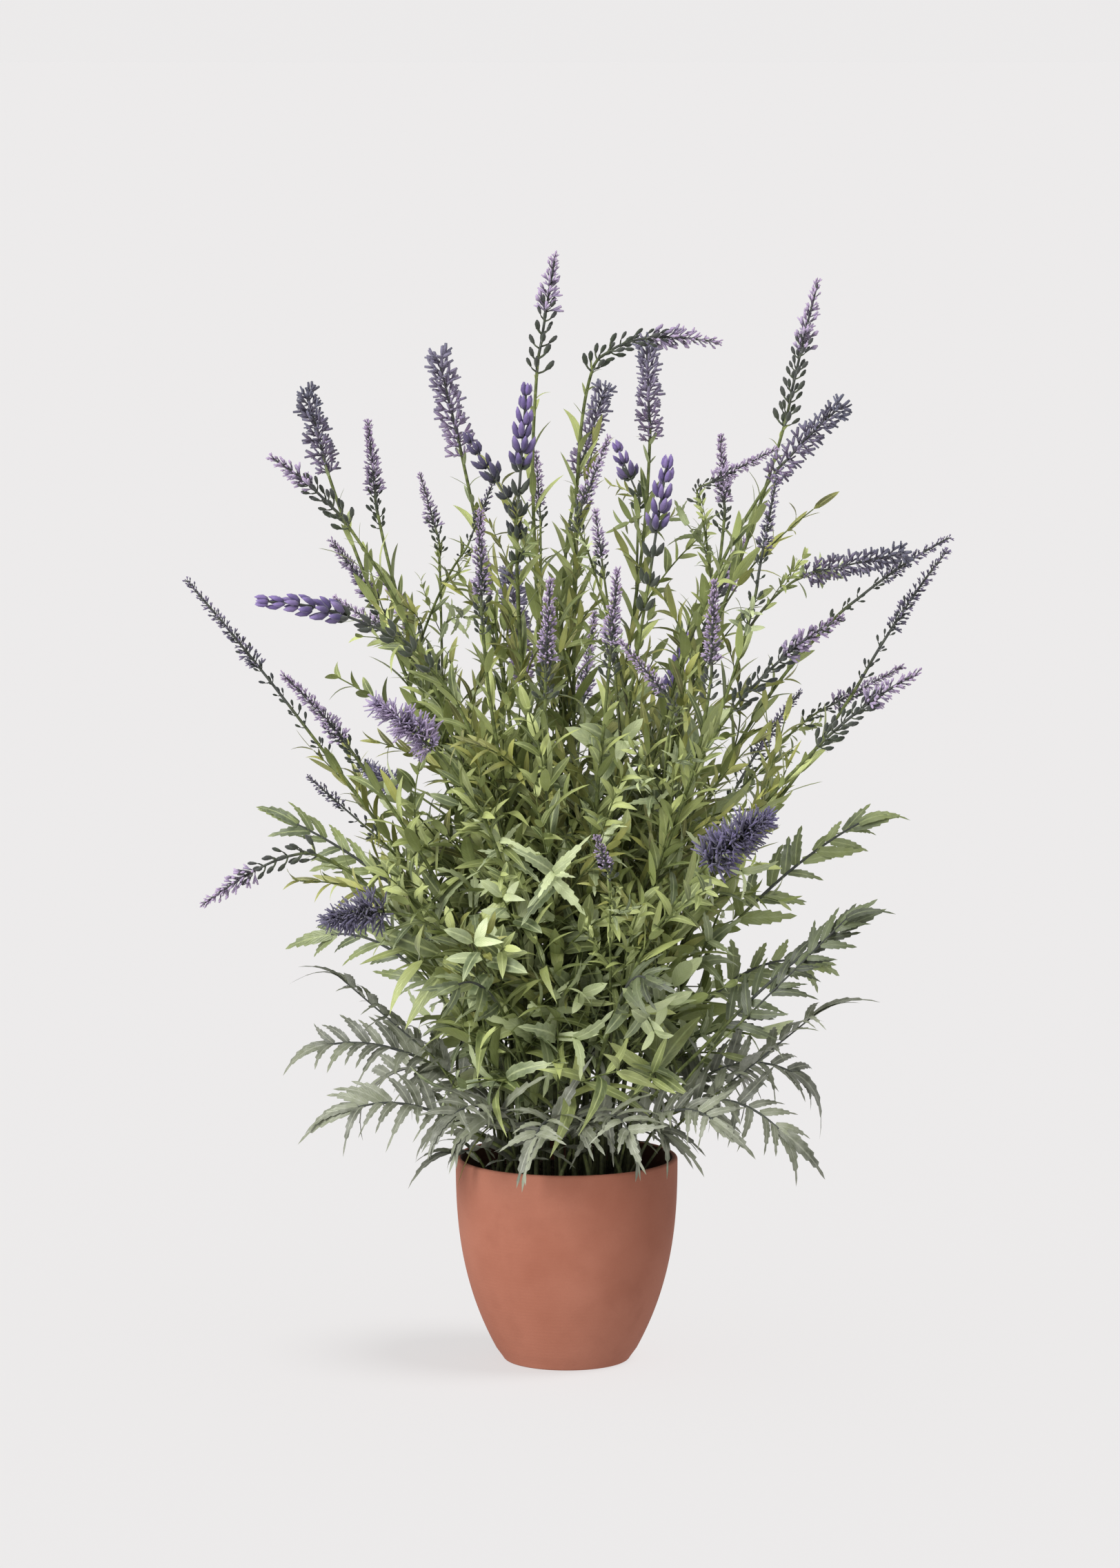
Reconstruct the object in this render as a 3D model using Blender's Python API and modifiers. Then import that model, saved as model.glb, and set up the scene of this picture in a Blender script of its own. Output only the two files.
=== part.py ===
"""Potted lavender: flower sprays and leaf fronds standing in the soil of a round clay pot.

Metres, +Z up, with the origin at the centre of the pot's flat foot and -Y to the front.
Each spray or frond is one grown piece: a stem with its flower head or leaf blade, planted in
a hole of its own in the soil. A head or blade is the solid that its florets or leaflets fill.
"""

import math
from collections import namedtuple
from itertools import combinations

import bmesh
import bpy
from mathutils import Vector

# The pot is turned: its side climbs from a narrow foot in one long curve to an upright rim.
POT_HEIGHT = 0.140
POT_RIM_RADIUS = 0.0755
POT_FOOT_RADIUS = 0.0435
POT_CURVE_POWER = 2.6
POT_WALL = 0.0040
POT_FLOOR = 0.0070
FOOT_ROUNDING = 0.0025
TURNED_SIDES = 48

# The soil fills the pot to a little below the rim.
SOIL_TOP = 0.124
FIT_GAP = 0.0003
HOLE_DEPTH = 0.022
HOLE_SIDES = 6
BED_RADIUS = 0.054
SPACING = 0.0085
SPACING_ROUNDS = 80

# A stem leaves its hole upright for a share of its reach before it leans to its head.
STEM_RADIUS = 0.0013
STEM_STEPS = 5
COLLAR_RISE = 0.001
LIFT_SHARE = 0.42

# A flower head is NECK_SHARE of its full width where it leaves the stem.
HEAD_STEPS = 4
NECK_SHARE = 0.45
SWELLING = 3.0
TIP_TAPER = 0.75

# A frond's blade is widest in the middle, and notched between its leaflet pairs.
BLADE_THICKNESS = 0.0022
BLADE_THINNING = 0.6
NOTCH_SHARE = 0.45
BLADE_START_PHASE = 0.12
BLADE_END_PHASE = 0.98
BLADE_FULLNESS = 0.7

UP = Vector((0, 0, 1))

# Each flower kind: the half width of its head, and the colour of the head as a whole.
FLOWER_KINDS = {
    "spire": (0.0065, (0.30, 0.26, 0.36)),
    "stub": (0.0040, (0.22, 0.19, 0.24)),
    "forked": (0.0095, (0.28, 0.26, 0.36)),
    "whorled": (0.0052, (0.20, 0.14, 0.38)),
    "plume": (0.0120, (0.14, 0.12, 0.30)),
    "fine": (0.0038, (0.34, 0.26, 0.42)),
}

# Each leaf kind: the half width of its blade, its leaflet pairs, and its colour.
LEAF_KINDS = {
    "silver_frond": (0.0170, 5, (0.27, 0.31, 0.25)),
    "green_frond": (0.0180, 5, (0.27, 0.36, 0.13)),
}

# Each spray: where its head or blade starts and ends, how far it arches between the two, at what
# share of the way it arches most, and for how long before it the stem already heads that way.
Spray = namedtuple("Spray", "start tip arch bend_at approach", defaults=(0.5, 0.08))

SPRAYS = {
    "spire_01": Spray((-0.020, 0.000, 0.672), (-0.008, 0.000, 0.748), 0.002),
    "spire_02": Spray((0.147, 0.040, 0.633), (0.170, 0.060, 0.729), 0.002),
    "spire_03": Spray((0.017, 0.020, 0.672), (0.101, 0.030, 0.691), 0.014, 0.2, 0.04),
    "spire_04": Spray((-0.166, -0.072, 0.356), (-0.239, -0.092, 0.327), 0.008, 0.3, 0.05),
    "spire_05": Spray((0.165, -0.090, 0.430), (0.229, -0.110, 0.481), 0.004),
    "spire_06": Spray((-0.145, -0.040, 0.572), (-0.194, -0.055, 0.618), 0.004),
    "spire_07": Spray((0.110, -0.085, 0.455), (0.178, -0.110, 0.517), 0.006),
    "spire_08": Spray((0.088, 0.120, 0.470), (0.125, 0.180, 0.545), 0.003),
    "spire_09": Spray((-0.090, 0.120, 0.450), (-0.130, 0.185, 0.520), 0.004),
    "stub_01": Spray((0.181, 0.060, 0.499), (0.262, 0.085, 0.554), 0.004),
    "stub_02": Spray((0.190, -0.045, 0.460), (0.251, -0.060, 0.557), 0.004),
    "stub_03": Spray((-0.170, 0.000, 0.425), (-0.255, 0.000, 0.532), 0.002),
    "stub_04": Spray((0.124, -0.045, 0.520), (0.139, -0.050, 0.604), 0.002),
    "stub_05": Spray((0.110, 0.130, 0.360), (0.165, 0.200, 0.435), 0.005),
    "forked_01": Spray((-0.070, -0.020, 0.618), (-0.085, -0.020, 0.681), 0.001),
    "forked_02": Spray((-0.163, 0.070, 0.600), (-0.177, 0.085, 0.651), 0.001),
    "forked_03": Spray((0.008, 0.048, 0.600), (0.026, 0.060, 0.657), 0.001),
    "forked_04": Spray((0.057, 0.080, 0.622), (0.055, 0.100, 0.686), 0.001),
    "forked_05": Spray((0.136, -0.030, 0.603), (0.180, -0.036, 0.650), 0.002),
    "forked_06": Spray((-0.030, 0.150, 0.450), (-0.040, 0.195, 0.520), 0.002),
    "whorled_01": Spray((-0.033, -0.050, 0.575), (-0.027, -0.050, 0.660), 0.001),
    "whorled_02": Spray((0.055, -0.050, 0.540), (0.066, -0.050, 0.612), 0.001),
    "whorled_03": Spray((-0.110, -0.085, 0.500), (-0.196, -0.105, 0.528), 0.006),
    "whorled_04": Spray((0.060, 0.150, 0.400), (0.085, 0.205, 0.470), 0.002),
    "plume_01": Spray((0.083, -0.122, 0.346), (0.126, -0.150, 0.388), 0.003),
    "plume_02": Spray((-0.092, -0.108, 0.316), (-0.151, -0.130, 0.322), 0.006),
    "plume_03": Spray((-0.078, -0.105, 0.420), (-0.122, -0.128, 0.462), 0.003),
    "plume_04": Spray((-0.100, 0.120, 0.350), (-0.140, 0.170, 0.385), 0.004),
    "fine_01": Spray((-0.130, 0.100, 0.570), (-0.137, 0.118, 0.630), 0.001),
    "fine_02": Spray((0.108, 0.080, 0.567), (0.106, 0.095, 0.621), 0.001),
    "fine_03": Spray((-0.139, -0.070, 0.420), (-0.186, -0.090, 0.477), 0.003),
    "fine_04": Spray((-0.127, 0.055, 0.506), (-0.160, 0.072, 0.552), 0.002),
    "fine_05": Spray((-0.056, -0.080, 0.515), (-0.057, -0.090, 0.584), 0.001),
    "fine_06": Spray((0.028, -0.098, 0.485), (0.033, -0.108, 0.547), 0.001),
    "fine_07": Spray((0.094, -0.112, 0.475), (0.096, -0.124, 0.541), 0.001),
    "fine_08": Spray((-0.014, -0.118, 0.475), (-0.011, -0.138, 0.543), 0.001),
    "fine_09": Spray((0.010, 0.150, 0.420), (0.020, 0.205, 0.490), 0.003),
    "silver_frond_01": Spray((-0.088, -0.022, 0.205), (-0.193, -0.036, 0.212), 0.014),
    "silver_frond_02": Spray((-0.078, -0.062, 0.176), (-0.165, -0.092, 0.178), 0.013),
    "silver_frond_03": Spray((-0.048, -0.076, 0.182), (-0.092, -0.140, 0.168), 0.016),
    "silver_frond_04": Spray((-0.008, -0.082, 0.178), (-0.030, -0.148, 0.150), 0.014),
    "silver_frond_05": Spray((0.026, -0.080, 0.180), (0.050, -0.146, 0.156), 0.014),
    "silver_frond_06": Spray((0.062, -0.062, 0.178), (0.120, -0.122, 0.160), 0.016),
    "silver_frond_07": Spray((0.085, -0.040, 0.182), (0.166, -0.080, 0.142), 0.020),
    "silver_frond_08": Spray((0.088, 0.002, 0.190), (0.181, 0.004, 0.176), 0.020),
    "silver_frond_09": Spray((0.070, 0.056, 0.185), (0.135, 0.118, 0.160), 0.016),
    "silver_frond_10": Spray((0.016, 0.086, 0.186), (0.036, 0.168, 0.156), 0.018),
    "silver_frond_11": Spray((-0.036, 0.080, 0.186), (-0.074, 0.152, 0.160), 0.016),
    "silver_frond_12": Spray((-0.078, 0.044, 0.184), (-0.148, 0.088, 0.156), 0.018),
    "green_frond_01": Spray((-0.105, -0.020, 0.318), (-0.200, -0.035, 0.380), 0.006),
    "green_frond_02": Spray((0.118, 0.022, 0.300), (0.219, 0.028, 0.374), 0.008),
    "green_frond_03": Spray((0.106, -0.052, 0.238), (0.200, -0.074, 0.318), 0.006),
    "green_frond_04": Spray((0.092, 0.036, 0.236), (0.176, 0.062, 0.262), 0.014),
    "green_frond_05": Spray((-0.044, -0.086, 0.255), (-0.078, -0.152, 0.276), 0.012),
    "green_frond_06": Spray((0.034, -0.090, 0.258), (0.056, -0.160, 0.282), 0.012),
    "green_frond_07": Spray((-0.100, 0.018, 0.262), (-0.176, 0.036, 0.282), 0.014),
    "green_frond_08": Spray((-0.052, 0.086, 0.268), (-0.094, 0.156, 0.300), 0.012),
    "green_frond_09": Spray((0.046, 0.088, 0.270), (0.082, 0.158, 0.304), 0.012),
}


def clear_scene():
    for obj in list(bpy.data.objects):
        bpy.data.objects.remove(obj, do_unlink=True)


def new_collection(name):
    collection = bpy.data.collections.new(name)
    bpy.context.scene.collection.children.link(collection)
    return collection


def new_material(name, colour, roughness):
    material = bpy.data.materials.new(name)
    material.use_nodes = True
    shader = material.node_tree.nodes["Principled BSDF"]
    shader.inputs["Base Color"].default_value = (*colour, 1.0)
    shader.inputs["Roughness"].default_value = roughness
    shader.inputs["Metallic"].default_value = 0.0
    return material


def add_object(name, data, material, collection):
    obj = bpy.data.objects.new(name, data)
    if material:
        data.materials.append(material)
    collection.objects.link(obj)
    return obj


# ---- pot and soil ----


def pot_outer_radius(z):
    spread = POT_RIM_RADIUS - POT_FOOT_RADIUS
    return POT_RIM_RADIUS - spread * (1 - z / POT_HEIGHT) ** POT_CURVE_POWER


def pot_inner_radius(z):
    return pot_outer_radius(z) - POT_WALL


def arc(centre_x, centre_z, radius, start_deg, end_deg, steps):
    """Points (x, z) of a circular arc, both ends included."""
    points = []
    for i in range(steps + 1):
        angle = math.radians(start_deg + (end_deg - start_deg) * i / steps)
        points.append((centre_x + radius * math.cos(angle), centre_z + radius * math.sin(angle)))
    return points


def turned(name, profile, material, collection):
    """A profile of (x, z) points, from the axis round to the axis, turned about Z."""
    mesh = bpy.data.meshes.new(name)
    edges = [(i, i + 1) for i in range(len(profile) - 1)]
    mesh.from_pydata([(x, 0, z) for x, z in profile], edges, [])
    obj = add_object(name, mesh, material, collection)
    screw = obj.modifiers.new("turn", "SCREW")
    screw.steps = screw.render_steps = TURNED_SIDES
    screw.use_merge_vertices = True
    screw.merge_threshold = 0.00005
    screw.use_smooth_shade = True
    return obj


def build_pot(collection):
    lip = POT_WALL / 2
    lip_height = POT_HEIGHT - lip
    wall_steps = 7
    profile = [(0, POT_FLOOR)]
    for i in range(wall_steps):
        z = POT_FLOOR + (lip_height - POT_FLOOR) * i / wall_steps
        profile.append((pot_inner_radius(z), z))
    profile += arc(pot_outer_radius(POT_HEIGHT) - lip, lip_height, lip, 180, 0, 4)
    for i in range(1, wall_steps + 1):
        share = i / (wall_steps + 1)
        z = lip_height * (1 - share)
        profile.append((pot_outer_radius(z), z))
    profile += arc(POT_FOOT_RADIUS - FOOT_ROUNDING, FOOT_ROUNDING, FOOT_ROUNDING, -25, -90, 3)
    profile.append((0, 0))
    return turned("pot", profile, new_material("terracotta", (0.50, 0.19, 0.11), 0.75), collection)


def cut_planting_holes(soil, holes, cutters):
    """One joined cutter with a prism for each stem, and the Boolean that sinks it in the soil."""
    mesh = bpy.data.meshes.new("planting_holes")
    bm = bmesh.new()
    height = HOLE_DEPTH + 0.004
    for x, y in holes:
        made = bmesh.ops.create_cone(
            bm,
            cap_ends=True,
            segments=HOLE_SIDES,
            radius1=STEM_RADIUS + 2 * FIT_GAP,
            radius2=STEM_RADIUS + 2 * FIT_GAP,
            depth=height,
        )
        middle = SOIL_TOP - HOLE_DEPTH + height / 2
        bmesh.ops.translate(bm, vec=(x, y, middle), verts=made["verts"])
    bm.to_mesh(mesh)
    bm.free()
    cutter = add_object("planting_holes", mesh, None, cutters)
    cutter.hide_render = True
    cutter.display_type = "WIRE"
    cut = soil.modifiers.new("planting_holes", "BOOLEAN")
    cut.object = cutter
    cut.operation = "DIFFERENCE"


def build_soil(collection, cutters, holes):
    side_steps = 4
    bottom = POT_FLOOR + FIT_GAP
    profile = [(0, SOIL_TOP)]
    for i in range(side_steps + 1):
        z = SOIL_TOP + (bottom - SOIL_TOP) * i / side_steps
        # A chord of the turned wall stands inside its circle, so the gap is a little wider.
        profile.append((pot_inner_radius(z) - 3 * FIT_GAP, z))
    profile.append((0, bottom))
    soil = turned("soil", profile, new_material("soil", (0.03, 0.022, 0.016), 0.95), collection)
    cut_planting_holes(soil, holes, cutters)
    return soil


# ---- sprays and fronds ----


def lean_of(name):
    """How far a spray leans from upright, as the angle from the soil to its head."""
    start = Vector(SPRAYS[name].start)
    return math.atan2(math.hypot(start.x, start.y), start.z - SOIL_TOP)


def make_room(places):
    """Neighbours closer than the planting distance push each other apart, within the bed."""
    for _ in range(SPACING_ROUNDS):
        for one, other in combinations(places, 2):
            apart = other - one
            short = SPACING - apart.length
            if short > 0:
                push = apart.normalized() * short / 2
                one -= push
                other += push
        for place in places:
            if place.length > BED_RADIUS:
                place *= BED_RADIUS / place.length


def planting_places():
    """Sprays are planted from the middle out in order of lean, so that no stem crosses another."""
    order = sorted(SPRAYS, key=lean_of)
    places = []
    for rank, name in enumerate(order):
        start = SPRAYS[name].start
        radius = BED_RADIUS * math.sqrt((rank + 0.5) / len(order))
        heading = math.atan2(start[1], start[0])
        places.append(Vector((radius * math.cos(heading), radius * math.sin(heading))))
    make_room(places)
    return dict(zip(order, places))


def cubic(a, b, c, d, t):
    s = 1 - t
    return a * s**3 + b * 3 * s * s * t + c * 3 * s * t * t + d * t**3


def quadratic(a, b, c, t):
    s = 1 - t
    return a * s * s + b * 2 * s * t + c * t * t


def route(name, place):
    """The stem's points from the bottom of its hole to its head, and the head's three points."""
    spray = SPRAYS[name]
    start = Vector(spray.start)
    tip = Vector(spray.tip)
    control = start.lerp(tip, spray.bend_at) + UP * 2 * spray.arch
    foot = Vector((*place, SOIL_TOP - HOLE_DEPTH + FIT_GAP))
    collar = Vector((*place, SOIL_TOP + COLLAR_RISE))
    lifted = collar + UP * (start - collar).length * LIFT_SHARE
    arriving = start - (control - start).normalized() * spray.approach
    rise = [cubic(collar, lifted, arriving, start, i / STEM_STEPS) for i in range(STEM_STEPS)]
    return [foot] + rise, (start, control, tip)


def head_width(t, half_width):
    """A head swells at once from the stem and narrows to a blunt tip."""
    return half_width * min(1.0, NECK_SHARE + SWELLING * t) * (1 - TIP_TAPER * t * t)


def build_flower_spray(name, place, half_width, material, collection):
    stem, head = route(name, place)
    points = [(p, STEM_RADIUS) for p in stem]
    for i in range(HEAD_STEPS + 1):
        t = i / HEAD_STEPS
        points.append((quadratic(*head, t), head_width(t, half_width)))
    curve = bpy.data.curves.new(name, "CURVE")
    curve.dimensions = "3D"
    curve.bevel_depth = STEM_RADIUS
    curve.bevel_resolution = 1
    curve.use_fill_caps = True
    spline = curve.splines.new("POLY")
    spline.points.add(len(points) - 1)
    for point, (place_on_route, radius) in zip(spline.points, points):
        point.co = (*place_on_route, 1)
        point.radius = radius / STEM_RADIUS
    return add_object(name, curve, material, collection)


def blade_sections(half_width, pairs):
    """(share along the blade, half width): leaflet tips and the notches between them."""
    sections = []
    steps = 2 * pairs
    for i in range(steps + 1):
        t = i / steps
        phase = BLADE_START_PHASE + (BLADE_END_PHASE - BLADE_START_PHASE) * t
        envelope = half_width * math.sin(math.pi * phase) ** BLADE_FULLNESS
        is_notch = i % 2 == 0
        sections.append((t, envelope * (NOTCH_SHARE if is_notch else 1.0)))
    return sections


def build_frond(name, place, half_width, pairs, material, collection):
    """A loft from the round stem into a flat notched blade, with a diamond section throughout."""
    stem, blade = route(name, place)
    sections = [(p, STEM_RADIUS, STEM_RADIUS) for p in stem]
    for t, width in blade_sections(half_width, pairs):
        thickness = BLADE_THICKNESS / 2 * (1 - BLADE_THINNING * t)
        sections.append((quadratic(*blade, t), width, thickness))
    side = (blade[2] - blade[0]).cross(UP).normalized()
    mesh = bpy.data.meshes.new(name)
    bm = bmesh.new()
    rings = []
    for i, (centre, width, thickness) in enumerate(sections):
        before = sections[max(0, i - 1)][0]
        after = sections[min(len(sections) - 1, i + 1)][0]
        normal = side.cross(after - before).normalized()
        offsets = (side * width, normal * thickness, -side * width, -normal * thickness)
        rings.append([bm.verts.new(centre + offset) for offset in offsets])
    for lower, upper in zip(rings, rings[1:]):
        for i in range(4):
            j = (i + 1) % 4
            bm.faces.new((lower[i], lower[j], upper[j], upper[i]))
    bm.faces.new(reversed(rings[0]))
    bm.faces.new(rings[-1])
    bmesh.ops.recalc_face_normals(bm, faces=bm.faces)
    bm.to_mesh(mesh)
    bm.free()
    return add_object(name, mesh, material, collection)


def kind_of(name):
    return name.rsplit("_", 1)[0]


def build_sprays(collection, places):
    flower_materials = {
        kind: new_material(kind, colour, 0.8) for kind, (_, colour) in FLOWER_KINDS.items()
    }
    leaf_materials = {
        kind: new_material(kind, colour, 0.7) for kind, (_, _, colour) in LEAF_KINDS.items()
    }
    for name, place in places.items():
        kind = kind_of(name)
        if kind in FLOWER_KINDS:
            half_width = FLOWER_KINDS[kind][0]
            build_flower_spray(name, place, half_width, flower_materials[kind], collection)
        else:
            half_width, pairs, _ = LEAF_KINDS[kind]
            build_frond(name, place, half_width, pairs, leaf_materials[kind], collection)


def main():
    clear_scene()
    lavender = new_collection("potted_lavender")
    cutters = new_collection("cutters")
    places = planting_places()
    build_pot(lavender)
    build_soil(lavender, cutters, list(places.values()))
    build_sprays(lavender, places)


main()
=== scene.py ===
"""Potted lavender: the finished looks of a mixed lavender arrangement in a round clay pot."""

import math
import random

import bmesh
import bpy
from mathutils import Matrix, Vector


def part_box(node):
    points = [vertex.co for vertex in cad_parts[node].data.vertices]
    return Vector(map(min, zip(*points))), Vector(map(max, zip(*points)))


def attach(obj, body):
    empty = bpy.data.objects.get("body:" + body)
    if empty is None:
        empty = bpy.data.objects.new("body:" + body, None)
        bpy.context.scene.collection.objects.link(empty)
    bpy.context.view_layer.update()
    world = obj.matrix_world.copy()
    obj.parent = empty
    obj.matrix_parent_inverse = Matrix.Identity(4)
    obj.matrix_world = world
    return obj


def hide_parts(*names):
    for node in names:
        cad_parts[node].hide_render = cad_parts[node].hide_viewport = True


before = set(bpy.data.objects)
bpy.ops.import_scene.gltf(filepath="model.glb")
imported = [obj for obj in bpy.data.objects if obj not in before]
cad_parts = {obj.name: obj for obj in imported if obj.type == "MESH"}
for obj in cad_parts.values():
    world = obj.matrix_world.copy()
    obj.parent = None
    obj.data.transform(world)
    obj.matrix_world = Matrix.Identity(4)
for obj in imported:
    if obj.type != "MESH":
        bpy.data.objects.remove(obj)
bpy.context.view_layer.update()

# ---- clay pot ----
# The pot is thrown in red clay and fired without a glaze. Its side climbs in one long curve from
# a narrow flat foot to an upright rim with a rounded lip, and its wall is 4 mm thick.

POT_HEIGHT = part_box("pot")[1].z
POT_RIM_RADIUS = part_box("pot")[1].x
POT_FOOT_SHARE = 0.576
POT_CURVE_POWER = 2.6
POT_WALL = 0.004
POT_FLOOR = 0.007
POT_LIP = POT_WALL / 2
FOOT_ROUNDING = 0.003
POT_SIDES = 128
POT_RINGS = 36
LIP_STEPS = 10
FOOT_STEPS = 6
CLAY_PALE = (0.370, 0.146, 0.095, 1)
CLAY_RED = (0.292, 0.103, 0.063, 1)
CLAY_DARK = (0.215, 0.073, 0.045, 1)
# Painted shade: the near-black that darkens the inside of the pot.
CLAY_PAINTED_SHADE = (0.042, 0.017, 0.011, 1)


def feed(tree, socket, value):
    """Links an input to another node's output, or sets its plain value."""
    if isinstance(value, bpy.types.NodeSocket):
        tree.links.new(value, socket)
    else:
        socket.default_value = value


def add_node(tree, kind, inputs=None, **settings):
    made = tree.nodes.new(kind)
    for key, value in settings.items():
        setattr(made, key, value)
    for key, value in (inputs or {}).items():
        feed(tree, made.inputs[key], value)
    return made


def calc(tree, operation, *values):
    made = tree.nodes.new("ShaderNodeMath")
    made.operation = operation
    for socket, value in zip(made.inputs, values):
        feed(tree, socket, value)
    return made.outputs[0]


def times(tree, one, other):
    return calc(tree, "MULTIPLY", one, other)


def plus(tree, one, other):
    return calc(tree, "ADD", one, other)


def minus(tree, one, other):
    return calc(tree, "SUBTRACT", one, other)


def divided(tree, one, other):
    return calc(tree, "DIVIDE", one, other)


def result_of(tree, kind, inputs=None, **settings):
    """The first output of a new node."""
    return add_node(tree, kind, inputs, **settings).outputs[0]


def blend_colour(tree, share, one, other):
    made = tree.nodes.new("ShaderNodeMix")
    made.data_type = "RGBA"
    feed(tree, made.inputs["Factor"], share)
    feed(tree, made.inputs["A"], one)
    feed(tree, made.inputs["B"], other)
    # The colour result is the third of the node's outputs.
    return made.outputs[2]


def between(tree, value, low, high, to_low=0.0, to_high=1.0):
    inputs = {"Value": value, "From Min": low, "From Max": high, "To Min": to_low, "To Max": to_high}
    return add_node(tree, "ShaderNodeMapRange", inputs).outputs["Result"]


def speckle(tree, scale, detail=3.0, roughness=0.5):
    place = add_node(tree, "ShaderNodeTexCoord").outputs["Object"]
    inputs = {"Vector": place, "Scale": scale, "Detail": detail, "Roughness": roughness}
    return add_node(tree, "ShaderNodeTexNoise", inputs).outputs["Fac"]


def new_finish(name, roughness=0.6, gloss=0.5, sheen=0.0):
    """A material whose shader holds the values that are the same all over its surface."""
    finish = bpy.data.materials.new(name)
    finish.use_nodes = True
    shader = finish.node_tree.nodes["Principled BSDF"]
    shader.inputs["Roughness"].default_value = roughness
    shader.inputs["Specular IOR Level"].default_value = gloss
    shader.inputs["Sheen Weight"].default_value = sheen
    return finish, finish.node_tree, shader


def relief(tree, shader, height, strength, distance):
    inputs = {"Height": height, "Strength": strength, "Distance": distance}
    bump = add_node(tree, "ShaderNodeBump", inputs)
    tree.links.new(bump.outputs["Normal"], shader.inputs["Normal"])


def fired_clay():
    finish, tree, shader = new_finish("fired_clay", roughness=0.82, gloss=0.25)
    clouds = between(tree, speckle(tree, 14.0, 4.0), 0.32, 0.68)
    colour = blend_colour(tree, clouds, CLAY_RED, CLAY_PALE)
    stains = between(tree, speckle(tree, 37.0, 5.0, 0.6), 0.56, 0.80, 0.0, 0.30)
    colour = blend_colour(tree, stains, colour, CLAY_DARK)
    grain = speckle(tree, 900.0, 2.0)
    colour = blend_colour(tree, between(tree, grain, 0.3, 0.7, 0.0, 0.10), colour, CLAY_DARK)
    # Painted shade: the inside wall and floor of the pot are darkened almost to black, as the shade in its
    # hollow.
    damp = add_node(tree, "ShaderNodeAttribute", attribute_name="damp").outputs["Fac"]
    colour = blend_colour(tree, times(tree, damp, 0.85), colour, CLAY_PAINTED_SHADE)
    tree.links.new(colour, shader.inputs["Base Color"])
    place = add_node(tree, "ShaderNodeTexCoord").outputs["Object"]
    height = add_node(tree, "ShaderNodeSeparateXYZ", {"Vector": place}).outputs["Z"]
    turning = calc(tree, "SINE", times(tree, height, 2600.0))
    marks = calc(tree, "MULTIPLY_ADD", turning, 0.12, grain)
    relief(tree, shader, marks, 0.25, 0.0004)
    return finish


def pot_radius(z):
    spread = POT_RIM_RADIUS * (1 - POT_FOOT_SHARE)
    return POT_RIM_RADIUS - spread * (1 - z / POT_HEIGHT) ** POT_CURVE_POWER


def round_corner(centre_x, centre_z, radius, start_deg, end_deg, steps):
    """Points (x, z) of a circular arc, both ends included."""
    points = []
    for i in range(steps + 1):
        angle = math.radians(start_deg + (end_deg - start_deg) * i / steps)
        points.append((centre_x + radius * math.cos(angle), centre_z + radius * math.sin(angle)))
    return points


def finished_mesh(name, bm):
    """The plain mesh of a bmesh, with smooth faces."""
    for face in bm.faces:
        face.smooth = True
    mesh = bpy.data.meshes.new(name)
    bm.to_mesh(mesh)
    bm.free()
    return mesh


def turned_mesh(name, profile, sides):
    """A profile of (x, z) points, from the axis round to the axis, turned about Z."""
    bm = bmesh.new()
    verts = [bm.verts.new((x, 0, z)) for x, z in profile]
    for one, other in zip(verts, verts[1:]):
        bm.edges.new((one, other))
    whole = {"geom": bm.verts[:] + bm.edges[:], "axis": (0, 0, 1), "cent": (0, 0, 0)}
    bmesh.ops.spin(bm, **whole, angle=2 * math.pi, steps=sides)
    bmesh.ops.remove_doubles(bm, verts=bm.verts, dist=0.00001)
    bmesh.ops.recalc_face_normals(bm, faces=bm.faces)
    return finished_mesh(name, bm)


def put_in_scene(name, data):
    made = bpy.data.objects.new(name, data)
    bpy.context.scene.collection.objects.link(made)
    return made


def add_piece(name, mesh, node=None):
    """Puts a finished mesh in the scene, in place of its CAD node where it has one."""
    piece = put_in_scene(name, mesh)
    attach(piece, "root")
    if node:
        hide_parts(node)
    return piece


def pot_profile():
    lip_height = POT_HEIGHT - POT_LIP
    profile = [(0, POT_FLOOR)]
    for i in range(POT_RINGS):
        z = POT_FLOOR + (lip_height - POT_FLOOR) * i / POT_RINGS
        profile.append((pot_radius(z) - POT_WALL, z))
    profile += round_corner(POT_RIM_RADIUS - POT_LIP, lip_height, POT_LIP, 180, 0, LIP_STEPS)
    for i in range(1, POT_RINGS):
        z = lip_height + (FOOT_ROUNDING * 1.6 - lip_height) * i / POT_RINGS
        profile.append((pot_radius(z), z))
    foot = pot_radius(0) - FOOT_ROUNDING * 0.9
    profile += round_corner(foot, FOOT_ROUNDING, FOOT_ROUNDING, -20, -90, FOOT_STEPS)
    profile.append((0, 0))
    return profile


pot = add_piece("clay_pot", turned_mesh("clay_pot", pot_profile(), POT_SIDES), "pot")
pot.data.materials.append(fired_clay())
# Marks the inside of the pot, where the painted shade goes.
damp = pot.data.attributes.new("damp", "FLOAT", "POINT")
for vert in pot.data.vertices:
    x, y, z = vert.co
    inside = math.hypot(x, y) < pot_radius(min(z, POT_HEIGHT)) - POT_WALL * 0.9 and z > POT_FLOOR * 0.9
    damp.data[vert.index].value = 1.0 if inside else 0.0

# ---- soil ----
# Dark crumbled peat fills the pot to a little below its rim. Its top is a rough bed of lumps
# and crumbs, pressed flat by hand round the stems.

SOIL_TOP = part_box("soil")[1].z
SOIL_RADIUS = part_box("soil")[1].x
SOIL_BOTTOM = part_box("soil")[0].z
SOIL_ROUGHNESS = 0.0022
SOIL_RINGS = 26
SOIL_SIDES = 96
SOIL_SIDE_STEPS = 8
SOIL_GAP = 0.0006
SOIL_SEED = 11
CRUMB_COUNT = 900
CRUMB_REACH = 0.94
CRUMB_SIZE = (0.0012, 0.0036)
PEAT_DARK = (0.010, 0.007, 0.005, 1)
PEAT_BROWN = (0.050, 0.033, 0.022, 1)


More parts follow.
